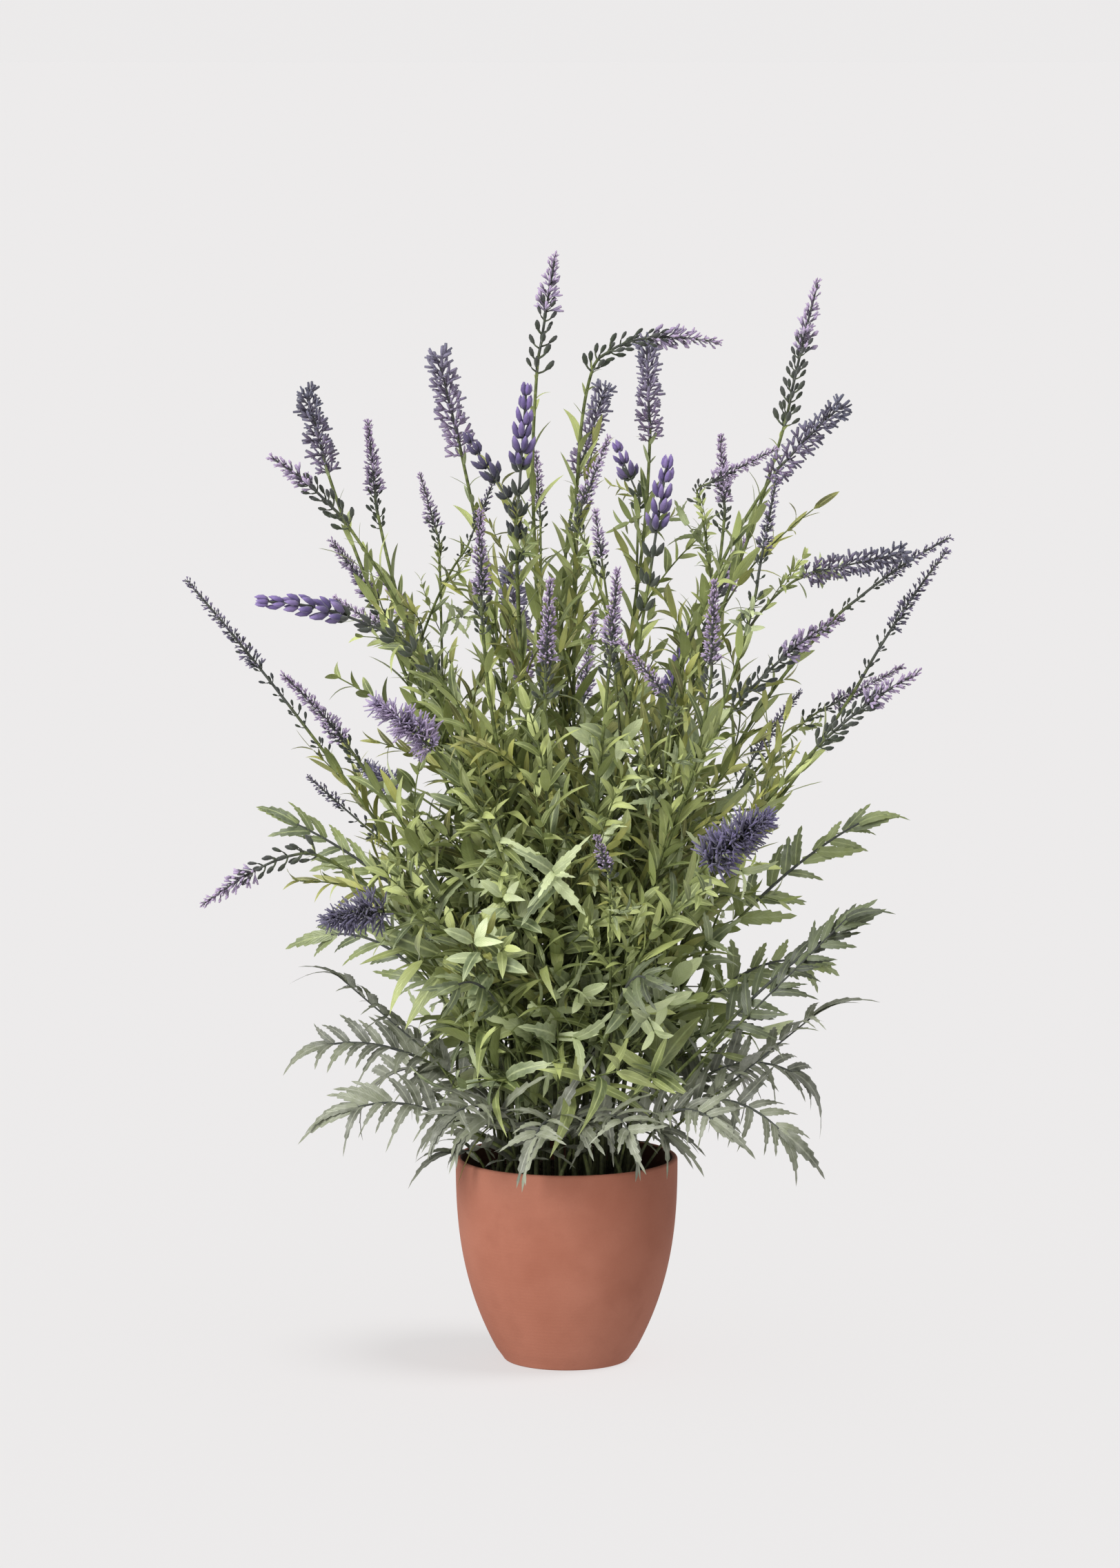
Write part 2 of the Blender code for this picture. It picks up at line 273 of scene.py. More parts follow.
def peat():
    finish, tree, shader = new_finish("peat", roughness=0.95, gloss=0.15)
    mottle = between(tree, speckle(tree, 420.0, 6.0, 0.7), 0.38, 0.66)
    tree.links.new(blend_colour(tree, mottle, PEAT_DARK, PEAT_BROWN), shader.inputs["Base Color"])
    relief(tree, shader, speckle(tree, 800.0, 4.0), 0.8, 0.001)
    return finish


def soil_mesh():
    profile = []
    for i in range(SOIL_RINGS + 1):
        profile.append((SOIL_RADIUS * i / SOIL_RINGS, SOIL_TOP))
    for i in range(1, SOIL_SIDE_STEPS + 1):
        z = SOIL_TOP + (SOIL_BOTTOM - SOIL_TOP) * i / SOIL_SIDE_STEPS
        profile.append((pot_radius(z) - POT_WALL - SOIL_GAP, z))
    profile.append((0, SOIL_BOTTOM))
    mesh = turned_mesh("soil", profile, SOIL_SIDES)
    chance = random.Random(SOIL_SEED)
    for vert in mesh.vertices:
        if vert.co.z > SOIL_TOP - 0.0001:
            vert.co.z += chance.uniform(-SOIL_ROUGHNESS, SOIL_ROUGHNESS * 0.4)
    return mesh


def new_tree(name, kind, inputs, outputs):
    """A node group and its inner sockets; each row is a name, a type and maybe a value."""
    tree = bpy.data.node_groups.new(name, kind)
    for in_out, rows in (("INPUT", inputs), ("OUTPUT", outputs)):
        for socket, socket_type, *value in rows:
            made = tree.interface.new_socket(socket, in_out=in_out, socket_type="NodeSocket" + socket_type)
            if value:
                made.default_value = value[0]
    start = tree.nodes.new("NodeGroupInput")
    end = tree.nodes.new("NodeGroupOutput")
    return tree, start.outputs, end.inputs


def random_value(tree, seed, low, high):
    made = tree.nodes.new("FunctionNodeRandomValue")
    # The float range is the third and fourth input, and the float result the second output.
    feed(tree, made.inputs[2], low)
    feed(tree, made.inputs[3], high)
    feed(tree, made.inputs["Seed"], seed)
    return made.outputs[1]


def crumb_tree():
    """Small rounded lumps, strewn over the top face of the soil."""
    inputs = [
        ("Geometry", "Geometry"),
        ("Count", "Int", CRUMB_COUNT),
        ("Smallest", "Float", CRUMB_SIZE[0]),
        ("Largest", "Float", CRUMB_SIZE[1]),
        ("Radius", "Float", SOIL_RADIUS),
        ("Level", "Float", SOIL_TOP),
        ("Finish", "Material"),
    ]
    tree, given, result = new_tree("crumbs", "GeometryNodeTree", inputs, [("Geometry", "Geometry")])
    reach = times(tree, calc(tree, "SQRT", random_value(tree, 1, 0.0, CRUMB_REACH)), given["Radius"])
    turn = random_value(tree, 2, 0.0, 2 * math.pi)
    x = times(tree, reach, calc(tree, "COSINE", turn))
    y = times(tree, reach, calc(tree, "SINE", turn))
    place = add_node(tree, "ShaderNodeCombineXYZ", {"X": x, "Y": y, "Z": given["Level"]})
    scatter = {"Count": given["Count"], "Position": place.outputs[0]}
    points = result_of(tree, "GeometryNodePoints", scatter)
    lump = add_node(tree, "GeometryNodeMeshIcoSphere", {"Radius": 0.5, "Subdivisions": 1})
    spin = add_node(tree, "FunctionNodeRandomValue", {"Seed": 3}, data_type="FLOAT_VECTOR")
    spin.inputs[1].default_value = (6.28, 6.28, 6.28)
    spread = {
        "Points": points,
        "Instance": lump.outputs["Mesh"],
        "Rotation": spin.outputs[0],
        "Scale": random_value(tree, 4, given["Smallest"], given["Largest"]),
    }
    lumps = result_of(tree, "GeometryNodeInstanceOnPoints", spread)
    real = result_of(tree, "GeometryNodeRealizeInstances", {"Geometry": lumps})
    both = tree.nodes.new("GeometryNodeJoinGeometry")
    tree.links.new(given["Geometry"], both.inputs[0])
    tree.links.new(real, both.inputs[0])
    painted = {"Geometry": both.outputs[0], "Material": given["Finish"]}
    tree.links.new(result_of(tree, "GeometryNodeSetMaterial", painted), result["Geometry"])
    return tree


def grown(name, mesh, tree, values):
    """The plain mesh that a node tree makes from a mesh, with the tree's named inputs set."""
    seed = put_in_scene(name, mesh)
    modifier = seed.modifiers.new("grow", "NODES")
    modifier.node_group = tree
    for socket in tree.interface.items_tree:
        if socket.in_out == "INPUT" and socket.name in values:
            modifier[socket.identifier] = values[socket.name]
    depsgraph = bpy.context.evaluated_depsgraph_get()
    made = bpy.data.meshes.new_from_object(seed.evaluated_get(depsgraph), depsgraph=depsgraph)
    made.name = name
    bpy.data.objects.remove(seed)
    return made


soil_bed = grown("soil_bed", soil_mesh(), crumb_tree(), {"Finish": peat()})
add_piece("soil_bed", soil_bed, "soil")

# ---- leaves ----
# Every leaf is a thin closed blade with a fold along its midrib, stamped with veins and tinted
# by hand, so that no two have quite the same green. A leaf grows along +Z from its stalk, shows
# its upper face to -X and droops to +X. Leaves are made one unit long and scaled as they are set.

LEAF_THICKNESS = 0.012
MIDRIB_HALF_WIDTH = 0.10
VEIN_PAIRS = 9.0


def attribute(tree, name):
    return add_node(tree, "ShaderNodeAttribute", attribute_name=name).outputs["Fac"]


def leaf_paint():
    """Green from dark to light leaves, a paler midrib and tip, and the height of the veins."""
    inputs = [
        ("Deep", "Color"),
        ("Light", "Color"),
        ("Midrib", "Color"),
        ("Underside", "Color"),
    ]
    outputs = [("Colour", "Color"), ("Veins", "Float")]
    tree, given, result = new_tree("leaf_paint", "ShaderNodeTree", inputs, outputs)
    mottle = between(tree, speckle(tree, 180.0, 3.0, 0.5), 0.3, 0.7, -0.10, 0.10)
    drift = between(tree, speckle(tree, 22.0, 2.0), 0.35, 0.65, -0.32, 0.28)
    tint = plus(tree, plus(tree, attribute(tree, "tint"), mottle), drift)
    along = attribute(tree, "along")
    across = calc(tree, "ABSOLUTE", attribute(tree, "across"))
    colour = blend_colour(tree, between(tree, tint, 0.0, 1.0), given["Deep"], given["Light"])
    rib = between(tree, across, 0.0, MIDRIB_HALF_WIDTH * 2, 0.75, 0.0)
    colour = blend_colour(tree, rib, colour, given["Midrib"])
    tip = between(tree, along, 0.70, 1.0, 0.0, 0.35)
    colour = blend_colour(tree, tip, colour, given["Light"])
    under = between(tree, attribute(tree, "underside"), 0.35, 0.65, 0.0, 0.75)
    colour = blend_colour(tree, under, colour, given["Underside"])
    slant = calc(tree, "MULTIPLY_ADD", across, -0.28, along)
    veins = calc(tree, "SINE", times(tree, slant, VEIN_PAIRS * 2 * math.pi))
    lines = between(tree, veins, 0.55, 1.0, 0.0, 1.0)
    colour = blend_colour(tree, times(tree, lines, 0.16), colour, given["Deep"])
    tree.links.new(colour, result["Colour"])
    height = minus(tree, minus(tree, 1.0, lines), rib)
    tree.links.new(height, result["Veins"])
    return tree


def dust_film():
    """A chalky bloom that lies in patches on a surface."""
    inputs = [
        ("Colour", "Color"),
        ("Dust", "Color"),
        ("Amount", "Float", 0.3),
    ]
    outputs = [("Colour", "Color")]
    tree, given, result = new_tree("dust_film", "ShaderNodeTree", inputs, outputs)
    patches = between(tree, speckle(tree, 150.0, 3.0, 0.5), 0.25, 0.75)
    mask = times(tree, patches, given["Amount"])
    tree.links.new(blend_colour(tree, mask, given["Colour"], given["Dust"]), result["Colour"])
    return tree


LEAF_PAINT = leaf_paint()
DUST_FILM = dust_film()


def leaf_finish(name, deep, light, midrib, underside, dust, dust_amount):
    finish, tree, shader = new_finish(name, roughness=0.46, gloss=0.60)
    paint = add_node(tree, "ShaderNodeGroup", node_tree=LEAF_PAINT)
    film = add_node(tree, "ShaderNodeGroup", node_tree=DUST_FILM)
    for socket, colour in (("Deep", deep), ("Light", light), ("Midrib", midrib), ("Underside", underside)):
        paint.inputs[socket].default_value = (*colour, 1)
    film.inputs["Dust"].default_value = (*dust, 1)
    film.inputs["Amount"].default_value = dust_amount
    tree.links.new(paint.outputs["Colour"], film.inputs["Colour"])
    tree.links.new(film.outputs["Colour"], shader.inputs["Base Color"])
    relief(tree, shader, paint.outputs["Veins"], 0.35, 0.0005)
    return finish


def leaf_rows(half_width, teeth, notch, fall):
    """(share along, half width) down a leaf, with forward-pointing teeth where it has any."""
    rows = []
    steps = max(teeth, 5)
    widest = 0.6 / (0.6 + fall)
    fullest = widest**0.6 * (1 - widest) ** fall
    for i in range(1, steps + 1):
        share = i / (steps + 0.7)
        width = half_width * share**0.6 * (1 - share) ** fall / fullest
        if teeth:
            rows.append((share - 0.72 / steps, width * notch))
        rows.append((share, width))
    return rows


def leaf_mesh(name, half_width, droop, fold, sway=0.0, fall=0.8, teeth=0, notch=0.6):
    """A closed blade: each row has two edges and a midrib above and below."""
    bm = bmesh.new()
    layers = {key: bm.verts.layers.float.new(key) for key in ("along", "across", "underside")}

    def place(share, side, lift, across, underside):
        x = droop * share**2.2 + lift
        z = share * (1 - 0.35 * droop * share)
        vert = bm.verts.new((x, side + sway * share * share, z))
        vert[layers["along"]] = share
        vert[layers["across"]] = across
        vert[layers["underside"]] = underside
        return vert

    base = place(0, 0, 0, 0, 0.5)
    tip = place(1, 0, 0, 0, 0.5)
    rings = []
    for share, width in leaf_rows(half_width, teeth, notch, fall):
        rim = -fold * width
        half = LEAF_THICKNESS / 2
        rings.append(
            (
                place(share, -width, rim, -1, 0.5),
                place(share, 0, -half, 0, 0),
                place(share, width, rim, 1, 0.5),
                place(share, 0, half, 0, 1),
            )
        )
    for i in range(4):
        j = (i + 1) % 4
        bm.faces.new((base, rings[0][j], rings[0][i]))
        for lower, upper in zip(rings, rings[1:]):
            bm.faces.new((lower[i], lower[j], upper[j], upper[i]))
        bm.faces.new((tip, rings[-1][i], rings[-1][j]))
    bmesh.ops.recalc_face_normals(bm, faces=bm.faces)
    for i in (0, 2):
        rim = [base, *(ring[i] for ring in rings), tip]
        for one, other in zip(rim, rim[1:]):
            bm.edges.get((one, other)).smooth = False
    return finished_mesh(name, bm)


def shelf(name, meshes):
    """A collection of loose shoots to plant from, which is not part of the scene."""
    collection = bpy.data.collections.new(name)
    for mesh in meshes:
        collection.objects.link(bpy.data.objects.new(mesh.name, mesh))
    return collection


def leaf_shelf(kind, *shapes):
    """Loose leaves of one kind: half width, droop, fold, sway, fall to the tip, teeth and notch."""
    leaves = [leaf_mesh(f"{kind}_{letter}", *shape) for letter, shape in zip("abc", shapes)]
    return shelf(kind + "_leaves", leaves)


lance_leaves = leaf_shelf(
    "lance",
    (0.090, 0.08, 0.16, 0.04),
    (0.105, 0.24, 0.12, -0.08),
    (0.082, 0.42, 0.18, 0.12),
)
oval_leaves = leaf_shelf(
    "oval",
    (0.155, 0.18, 0.14, 0.06, 0.75),
    (0.135, 0.48, 0.18, -0.10, 0.85),
    (0.165, 0.32, 0.12, 0.03, 0.7),
)
arching_leaves = leaf_shelf(
    "arching",
    (0.095, 0.60, 0.14, 0.08, 1.1),
    (0.108, 0.85, 0.18, -0.12, 1.2),
    (0.085, 0.38, 0.15, 0.16, 1.0),
)
toothed_leaves = leaf_shelf(
    "toothed",
    (0.118, 0.26, 0.14, 0.08, 1.0, 5, 0.88),
    (0.104, 0.55, 0.16, -0.12, 1.1, 6, 0.90),
    (0.126, 0.40, 0.12, 0.03, 0.9, 5, 0.86),
)
scythe_leaflets = leaf_shelf(
    "scythe",
    (0.112, 0.50, 0.20, 0.14, 1.1, 6, 0.86),
    (0.102, 0.75, 0.24, -0.10, 1.2, 6, 0.88),
    (0.124, 0.36, 0.18, 0.20, 1.0, 5, 0.84),
)

spring_green = leaf_finish(
    "spring_green_leaf",
    deep=(0.054, 0.080, 0.011),
    light=(0.480, 0.535, 0.175),
    midrib=(0.470, 0.530, 0.210),
    underside=(0.290, 0.345, 0.110),
    dust=(0.54, 0.60, 0.36),
    dust_amount=0.16,
)
mint_green = leaf_finish(
    "mint_green_leaf",
    deep=(0.062, 0.092, 0.024),
    light=(0.560, 0.630, 0.325),
    midrib=(0.520, 0.580, 0.300),
    underside=(0.330, 0.390, 0.170),
    dust=(0.58, 0.64, 0.44),
    dust_amount=0.26,
)
frond_green = leaf_finish(
    "frond_green_leaf",
    deep=(0.040, 0.060, 0.014),
    light=(0.250, 0.300, 0.085),
    midrib=(0.340, 0.390, 0.160),
    underside=(0.210, 0.255, 0.100),
    dust=(0.50, 0.55, 0.38),
    dust_amount=0.22,
)
olive_green = leaf_finish(
    "olive_green_leaf",
    deep=(0.060, 0.060, 0.010),
    light=(0.440, 0.450, 0.110),
    midrib=(0.430, 0.450, 0.150),
    underside=(0.260, 0.280, 0.070),
    dust=(0.54, 0.58, 0.36),
    dust_amount=0.12,
)
slate_green = leaf_finish(
    "slate_green_leaf",
    deep=(0.018, 0.024, 0.010),
    light=(0.120, 0.150, 0.060),
    midrib=(0.180, 0.210, 0.100),
    underside=(0.085, 0.105, 0.048),
    dust=(0.40, 0.43, 0.34),
    dust_amount=0.14,
)
silver_green = leaf_finish(
    "silver_green_leaf",
    deep=(0.034, 0.040, 0.020),
    light=(0.190, 0.210, 0.125),
    midrib=(0.290, 0.305, 0.225),
    underside=(0.105, 0.118, 0.078),
    dust=(0.47, 0.48, 0.41),
    dust_amount=0.40,
)

# ---- stems and whorls ----
# A stem is a wire wrapped in green paper, bent by hand. Leaves, buds and florets are fixed round
# it in whorls, each whorl turned from the one below.

STEM_SIDES = 7
STEM_RADII = (0.0016, 0.0007)
TWIG_RADII = (0.0009, 0.0005)
# A CAD spray has a ring at each point of its route: its stem ends at the head ring.
ROUTE_RINGS = 17
HEAD_RING = 6
# Each kind of spray draws its own row of seeds from here on.
FIRST_SEEDS = {
    "spire": 1000,
    "stub": 2000,
    "forked": 3000,
    "whorled": 4000,
    "plume": 5000,
    "fine": 6000,
    "silver_frond": 7000,
    "green_frond": 8000,
}
GOLDEN_TURN = math.radians(137.5)
QUARTER_TURN = math.radians(90)
STEM_GREEN = (0.048, 0.062, 0.018, 1)
STEM_PALE = (0.170, 0.205, 0.065, 1)
STEM_BROWN = (0.036, 0.034, 0.022, 1)
STEM_SLATE = (0.050, 0.052, 0.058, 1)


def wrapped_stem():
    finish, tree, shader = new_finish("wrapped_stem", roughness=0.7, gloss=0.3)
    along = attribute(tree, "along")
    streaks = between(tree, speckle(tree, 190.0, 4.0, 0.6), 0.35, 0.65)
    colour = blend_colour(tree, streaks, STEM_GREEN, STEM_PALE)
    foot = between(tree, along, 0.0, 0.40, 0.85, 0.0)
    colour = blend_colour(tree, foot, colour, STEM_BROWN)
    head = between(tree, attribute(tree, "station"), 0.0, 0.25, 0.0, 0.85)
    tree.links.new(blend_colour(tree, head, colour, STEM_SLATE), shader.inputs["Base Color"])
    relief(tree, shader, speckle(tree, 700.0, 2.0), 0.4, 0.0004)
    return finish


def stem_tree():
    """Wraps a route in a round stem, as thick at each point as the route says."""
    inputs = [
        ("Route", "Geometry"),
        ("Finish", "Material"),
        ("Head From", "Float", 0.8),
    ]
    tree, given, result = new_tree("stem", "GeometryNodeTree", inputs, [("Stem", "Geometry")])
    ring = add_node(tree, "GeometryNodeCurvePrimitiveCircle", {"Resolution": STEM_SIDES, "Radius": 1.0})
    share = tree.nodes.new("GeometryNodeSplineParameter").outputs["Factor"]
    route = given["Route"]
    for name, value in (("along", share), ("station", between(tree, share, given["Head From"], 1.0))):
        marked = {"Geometry": route, "Name": name, "Value": value}
        route = result_of(tree, "GeometryNodeStoreNamedAttribute", marked)
    thickness = result_of(tree, "GeometryNodeInputNamedAttribute", {"Name": "thickness"})
    swept = {"Curve": route, "Profile Curve": ring.outputs["Curve"], "Scale": thickness, "Fill Caps": True}
    tube = result_of(tree, "GeometryNodeCurveToMesh", swept)
    tube = result_of(tree, "GeometryNodeSetShadeSmooth", {"Geometry": tube})
    painted = {"Geometry": tube, "Material": given["Finish"]}
    tree.links.new(result_of(tree, "GeometryNodeSetMaterial", painted), result["Stem"])
    return tree


def whorl_tree():
    """Sets loose shoots round a route, in whorls from one share of it to another."""
    inputs = [
        ("Route", "Geometry"),
        ("Shoots", "Collection"),
        ("Finish", "Material"),
        ("Own Finish", "Bool", False),
        ("Growth", "Float", 1.0),
        ("Head From", "Float", 0.8),
        ("On Head", "Bool", False),
        ("From", "Float", 0.0),
        ("To", "Float", 1.0),
        ("Spacing", "Float", 0.02),
        ("Per Whorl", "Int", 2),
        ("Size From", "Float", 0.03),
        ("Size To", "Float", 0.02),
        ("Lean From", "Float", 0.6),
        ("Lean To", "Float", 0.4),
        ("Twist", "Float", QUARTER_TURN),
        ("Roll", "Float", 0.0),
        ("Turn", "Float", 0.0),
        ("Sag", "Float", 0.0),
        ("Jitter", "Float", 0.3),
        ("Seed", "Int", 0),
    ]
    tree, given, result = new_tree("whorls", "GeometryNodeTree", inputs, [("Shoots", "Geometry")])

    def chance(step, low, high):
        return random_value(tree, plus(tree, given["Seed"], float(step)), low, high)

    def mixed(low, high, share):
        return calc(tree, "MULTIPLY_ADD", minus(tree, high, low), share, low)

    def wobble(step, amount):
        return times(tree, chance(step, -amount, amount), given["Jitter"])

    # The stretch of the route: the stem up to the head, or the head itself.
    on_head = given["On Head"]
    head_from = given["Head From"]
    low = add_node(tree, "GeometryNodeSwitch", input_type="FLOAT")
    high = add_node(tree, "GeometryNodeSwitch", input_type="FLOAT")
    for switch, otherwise, chosen in ((low, 0.0, head_from), (high, head_from, 1.0)):
        feed(tree, switch.inputs["Switch"], on_head)
        feed(tree, switch.inputs["False"], otherwise)
        feed(tree, switch.inputs["True"], chosen)
    start = mixed(low.outputs[0], high.outputs[0], given["From"])
    end = mixed(low.outputs[0], high.outputs[0], given["To"])
    length = result_of(tree, "GeometryNodeCurveLength", {"Curve": given["Route"]})
    stretch = times(tree, length, minus(tree, end, start))
    gaps = calc(tree, "MAXIMUM", calc(tree, "ROUND", divided(tree, stretch, given["Spacing"])), 1.0)
    per_whorl = given["Per Whorl"]
    count = times(tree, plus(tree, gaps, 1.0), per_whorl)

    # Each point knows its whorl, its place in the whorl, and its share of the stretch.
    index = tree.nodes.new("GeometryNodeInputIndex").outputs[0]
    whorl = calc(tree, "FLOOR", divided(tree, plus(tree, index, 0.5), per_whorl))
    place = minus(tree, index, times(tree, whorl, per_whorl))
    station = divided(tree, whorl, gaps)
    slip = divided(tree, times(tree, wobble(1, 0.8), given["Spacing"]), length)
    factor = plus(tree, mixed(start, end, station), slip)
    sampled = add_node(tree, "GeometryNodeSampleCurve", mode="FACTOR")
    feed(tree, sampled.inputs["Curves"], given["Route"])
    feed(tree, sampled.inputs["Factor"], result_of(tree, "ShaderNodeClamp", {"Value": factor}))
    sown = {"Count": count, "Position": sampled.outputs["Position"]}
    points = result_of(tree, "GeometryNodePoints", sown)
    for name, value in (("tint", chance(2, 0.0, 1.0)), ("station", station)):
        marked = {"Geometry": points, "Name": name, "Value": value}
        points = result_of(tree, "GeometryNodeStoreNamedAttribute", marked)

    # A shoot spins to its place round the stem, leans out from it, and rolls on its own axis.
    axes = {"Primary Axis": sampled.outputs["Tangent"], "Secondary Axis": sampled.outputs["Normal"]}
    turn = add_node(tree, "FunctionNodeAxesToRotation", axes, primary_axis="Z", secondary_axis="X")
    share_of_turn = divided(tree, times(tree, place, 2 * math.pi), per_whorl)
    side = minus(tree, 1.0, times(tree, calc(tree, "MODULO", place, 2.0), 2.0))
    spin = calc(tree, "MULTIPLY_ADD", whorl, given["Twist"], plus(tree, share_of_turn, wobble(3, 0.6)))
    spin = plus(tree, spin, calc(tree, "MULTIPLY_ADD", given["Sag"], side, given["Turn"]))
    lean = plus(tree, mixed(given["Lean From"], given["Lean To"], station), wobble(4, 0.5))
    roll = plus(tree, times(tree, given["Roll"], side), wobble(5, 0.7))
    rotation = turn.outputs[0]
    for axis, angle in (("Z", spin), ("Y", lean), ("Z", roll)):
        euler = result_of(tree, "ShaderNodeCombineXYZ", {axis: angle})
        by = result_of(tree, "FunctionNodeEulerToRotation", {"Euler": euler})
        turned = {"Rotation": rotation, "Rotate By": by}
        rotation = result_of(tree, "FunctionNodeRotateRotation", turned, rotation_space="LOCAL")
    size = mixed(given["Size From"], given["Size To"], station)
    size = times(tree, size, plus(tree, wobble(6, 0.6), 1.0))
    size = times(tree, size, given["Growth"])
    picked = {"Collection": given["Shoots"], "Separate Children": True, "Reset Children": True}
    loose = result_of(tree, "GeometryNodeCollectionInfo", picked)
    choice = {
        "Points": points,
        "Instance": loose,
        "Pick Instance": True,
        "Instance Index": calc(tree, "FLOOR", chance(7, 0.0, 60.0)),
        "Rotation": rotation,
        "Scale": size,
    }
    planted = result_of(tree, "GeometryNodeInstanceOnPoints", choice)
    real = result_of(tree, "GeometryNodeRealizeInstances", {"Geometry": planted})
    plain = tree.nodes.new("FunctionNodeBooleanMath")
    plain.operation = "NOT"
    feed(tree, plain.inputs[0], given["Own Finish"])
    painted = {"Geometry": real, "Selection": plain.outputs[0], "Material": given["Finish"]}
    tree.links.new(result_of(tree, "GeometryNodeSetMaterial", painted), result["Shoots"])
    return tree


STEM = stem_tree()
WHORLS = whorl_tree()
WRAPPED_STEM = wrapped_stem()


def spray_tree(name, layers, side_normals=False):
    """The tree for one kind of spray: a stem, and a layer of whorls for each entry."""
    inputs = [
        ("Geometry", "Geometry"),
        ("Head From", "Float", 0.8),
        ("Seed", "Int", 0),
        ("Shade", "Float", 0.5),
        ("Leaf Growth", "Float", 1.0),
        ("Head Growth", "Float", 1.0),
        ("Turn", "Float", 0.0),
        ("Step", "Float", 0.004),
    ]
    tree, given, result = new_tree(name, "GeometryNodeTree", inputs, [("Geometry", "Geometry")])
    route = result_of(tree, "GeometryNodeMeshToCurve", {"Mesh": given["Geometry"]})
    smooth = add_node(tree, "GeometryNodeCurveSplineType", {"Curve": route}, spline_type="CATMULL_ROM")
    spaced = {"Curve": smooth.outputs[0], "Length": given["Step"]}
    route = result_of(tree, "GeometryNodeResampleCurve", spaced, mode="LENGTH")
    if side_normals:
        level = add_node(tree, "GeometryNodeSetCurveNormal", {"Curve": route}, mode="Z_UP")
        route = level.outputs[0]
    gathered = tree.nodes.new("GeometryNodeJoinGeometry")
    stem = add_node(tree, "GeometryNodeGroup", node_tree=STEM)
    feed(tree, stem.inputs["Route"], route)
    feed(tree, stem.inputs["Head From"], given["Head From"])
    stem.inputs["Finish"].default_value = WRAPPED_STEM
    tree.links.new(stem.outputs[0], gathered.inputs[0])
    for i, layer in enumerate(layers):
        whorls = add_node(tree, "GeometryNodeGroup", node_tree=WHORLS)
        feed(tree, whorls.inputs["Route"], route)
        for key in ("Head From", "Turn"):
            feed(tree, whorls.inputs[key], given[key])
        feed(tree, whorls.inputs["Growth"], given["Head Growth" if layer["On Head"] else "Leaf Growth"])
        feed(tree, whorls.inputs["Seed"], plus(tree, given["Seed"], 100.0 * (i + 1)))
        for key, value in layer.items():
            whorls.inputs[key].default_value = value
        tree.links.new(whorls.outputs[0], gathered.inputs[0])
    shaded = {"Geometry": gathered.outputs[0], "Name": "shade", "Value": given["Shade"]}
    whole = result_of(tree, "GeometryNodeStoreNamedAttribute", shaded)
    tree.links.new(whole, result["Geometry"])
    return tree


def layer(
    shoots, finish, span, spacing, per_whorl, sizes, leans, twist, jitter=0.35, head=False, roll=0.0, sag=0.0
):
    """The named inputs of one layer of whorls; sizes in metres, leans in degrees from the stem."""
    return {
        "Shoots": shoots,
        "Finish": finish,
        "Own Finish": finish is None,
        "On Head": head,
        "From": span[0],
        "To": span[1],
        "Spacing": spacing,
        "Per Whorl": per_whorl,
        "Size From": sizes[0],
        "Size To": sizes[1],
        "Lean From": math.radians(leans[0]),
        "Lean To": math.radians(leans[1]),
        "Twist": twist,
        "Roll": roll,
        "Sag": math.radians(sag),
        "Jitter": jitter,
    }


def head_layer(*values, **more):
    """A layer on the head, where a span of 0 to 1 is the whole head."""
    return layer(*values, head=True, **more)


def route_mesh(name, points, radii):
    mesh = bpy.data.meshes.new(name)
    mesh.from_pydata([tuple(p) for p in points], [(i, i + 1) for i in range(len(points) - 1)], [])
    thickness = mesh.attributes.new("thickness", "FLOAT", "POINT")
    thickness.data.foreach_set("value", radii)
    return mesh


def stem_route(node):
    """The middle of each ring of a CAD spray, from the foot of its stem to its tip."""
    bm = bmesh.new()
    bm.from_mesh(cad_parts[node].data)
    bmesh.ops.remove_doubles(bm, verts=bm.verts, dist=0.00002)
    bm.verts.index_update()
    foot = min(v.co.z for v in bm.verts)
    ring = [v for v in bm.verts if v.co.z < foot + 0.0003]
    seen = set(ring)
    middles = []
    while ring:
        middles.append(sum((v.co for v in ring), Vector()) / len(ring))
        following = {e.other_vert(v) for v in ring for e in v.link_edges} - seen
        seen |= following
        ring = sorted(following, key=lambda v: v.index)
    bm.free()
    return middles


def run_length(points):
    return sum((b - a).length for a, b in zip(points, points[1:]))


def tapered(count, thick, thin):
    return [thick + (thin - thick) * i / (count - 1) for i in range(count)]


def spray_values(route, head_ring, seed, shade, head_growth=1.0, leaf_growth=1.0, turn=0.0):
    return {
        "Head From": run_length(route[: head_ring + 1]) / run_length(route),
        "Seed": seed,
        "Shade": shade,
        "Head Growth": head_growth,
        "Leaf Growth": leaf_growth,
        "Turn": turn,
    }


def grow_spray(node, tree, seed, shade, growth=1.0, turn=0.0, keep=ROUTE_RINGS, head_ring=HEAD_RING):
    """Dresses one CAD spray with its kind's tree, as one piece."""
    route = stem_route(node)[:keep]
    mesh = route_mesh(node, route, tapered(len(route), *STEM_RADII))
    values = spray_values(route, head_ring, seed, shade, growth, 1.0, turn)
    return add_piece(node + "_spray", grown(node, mesh, tree, values), node)


def nodes_of(kind):
    return sorted(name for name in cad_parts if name.rsplit("_", 1)[0] == kind)


def grow_kind(kind, tree, shades, growths=None):
    """Dresses each CAD spray of one kind, with its own shade and growth."""
    growths = growths or [1.0] * len(shades)
    for i, node in enumerate(nodes_of(kind)):
        grow_spray(node, tree, FIRST_SEEDS[kind] + i, shades[i], growths[i])


# ---- leafy twigs ----
# Short side twigs fill the middle of the plant. Each has a few pairs of leaves on a thin curved
# stalk, and the whole twig is one moulded piece that pushes on to the stem.

TWIG_BENDS = (-0.15, 0.10, 0.35, 0.55)
TWIG_SEED = 31
TWIG_POINTS = 7


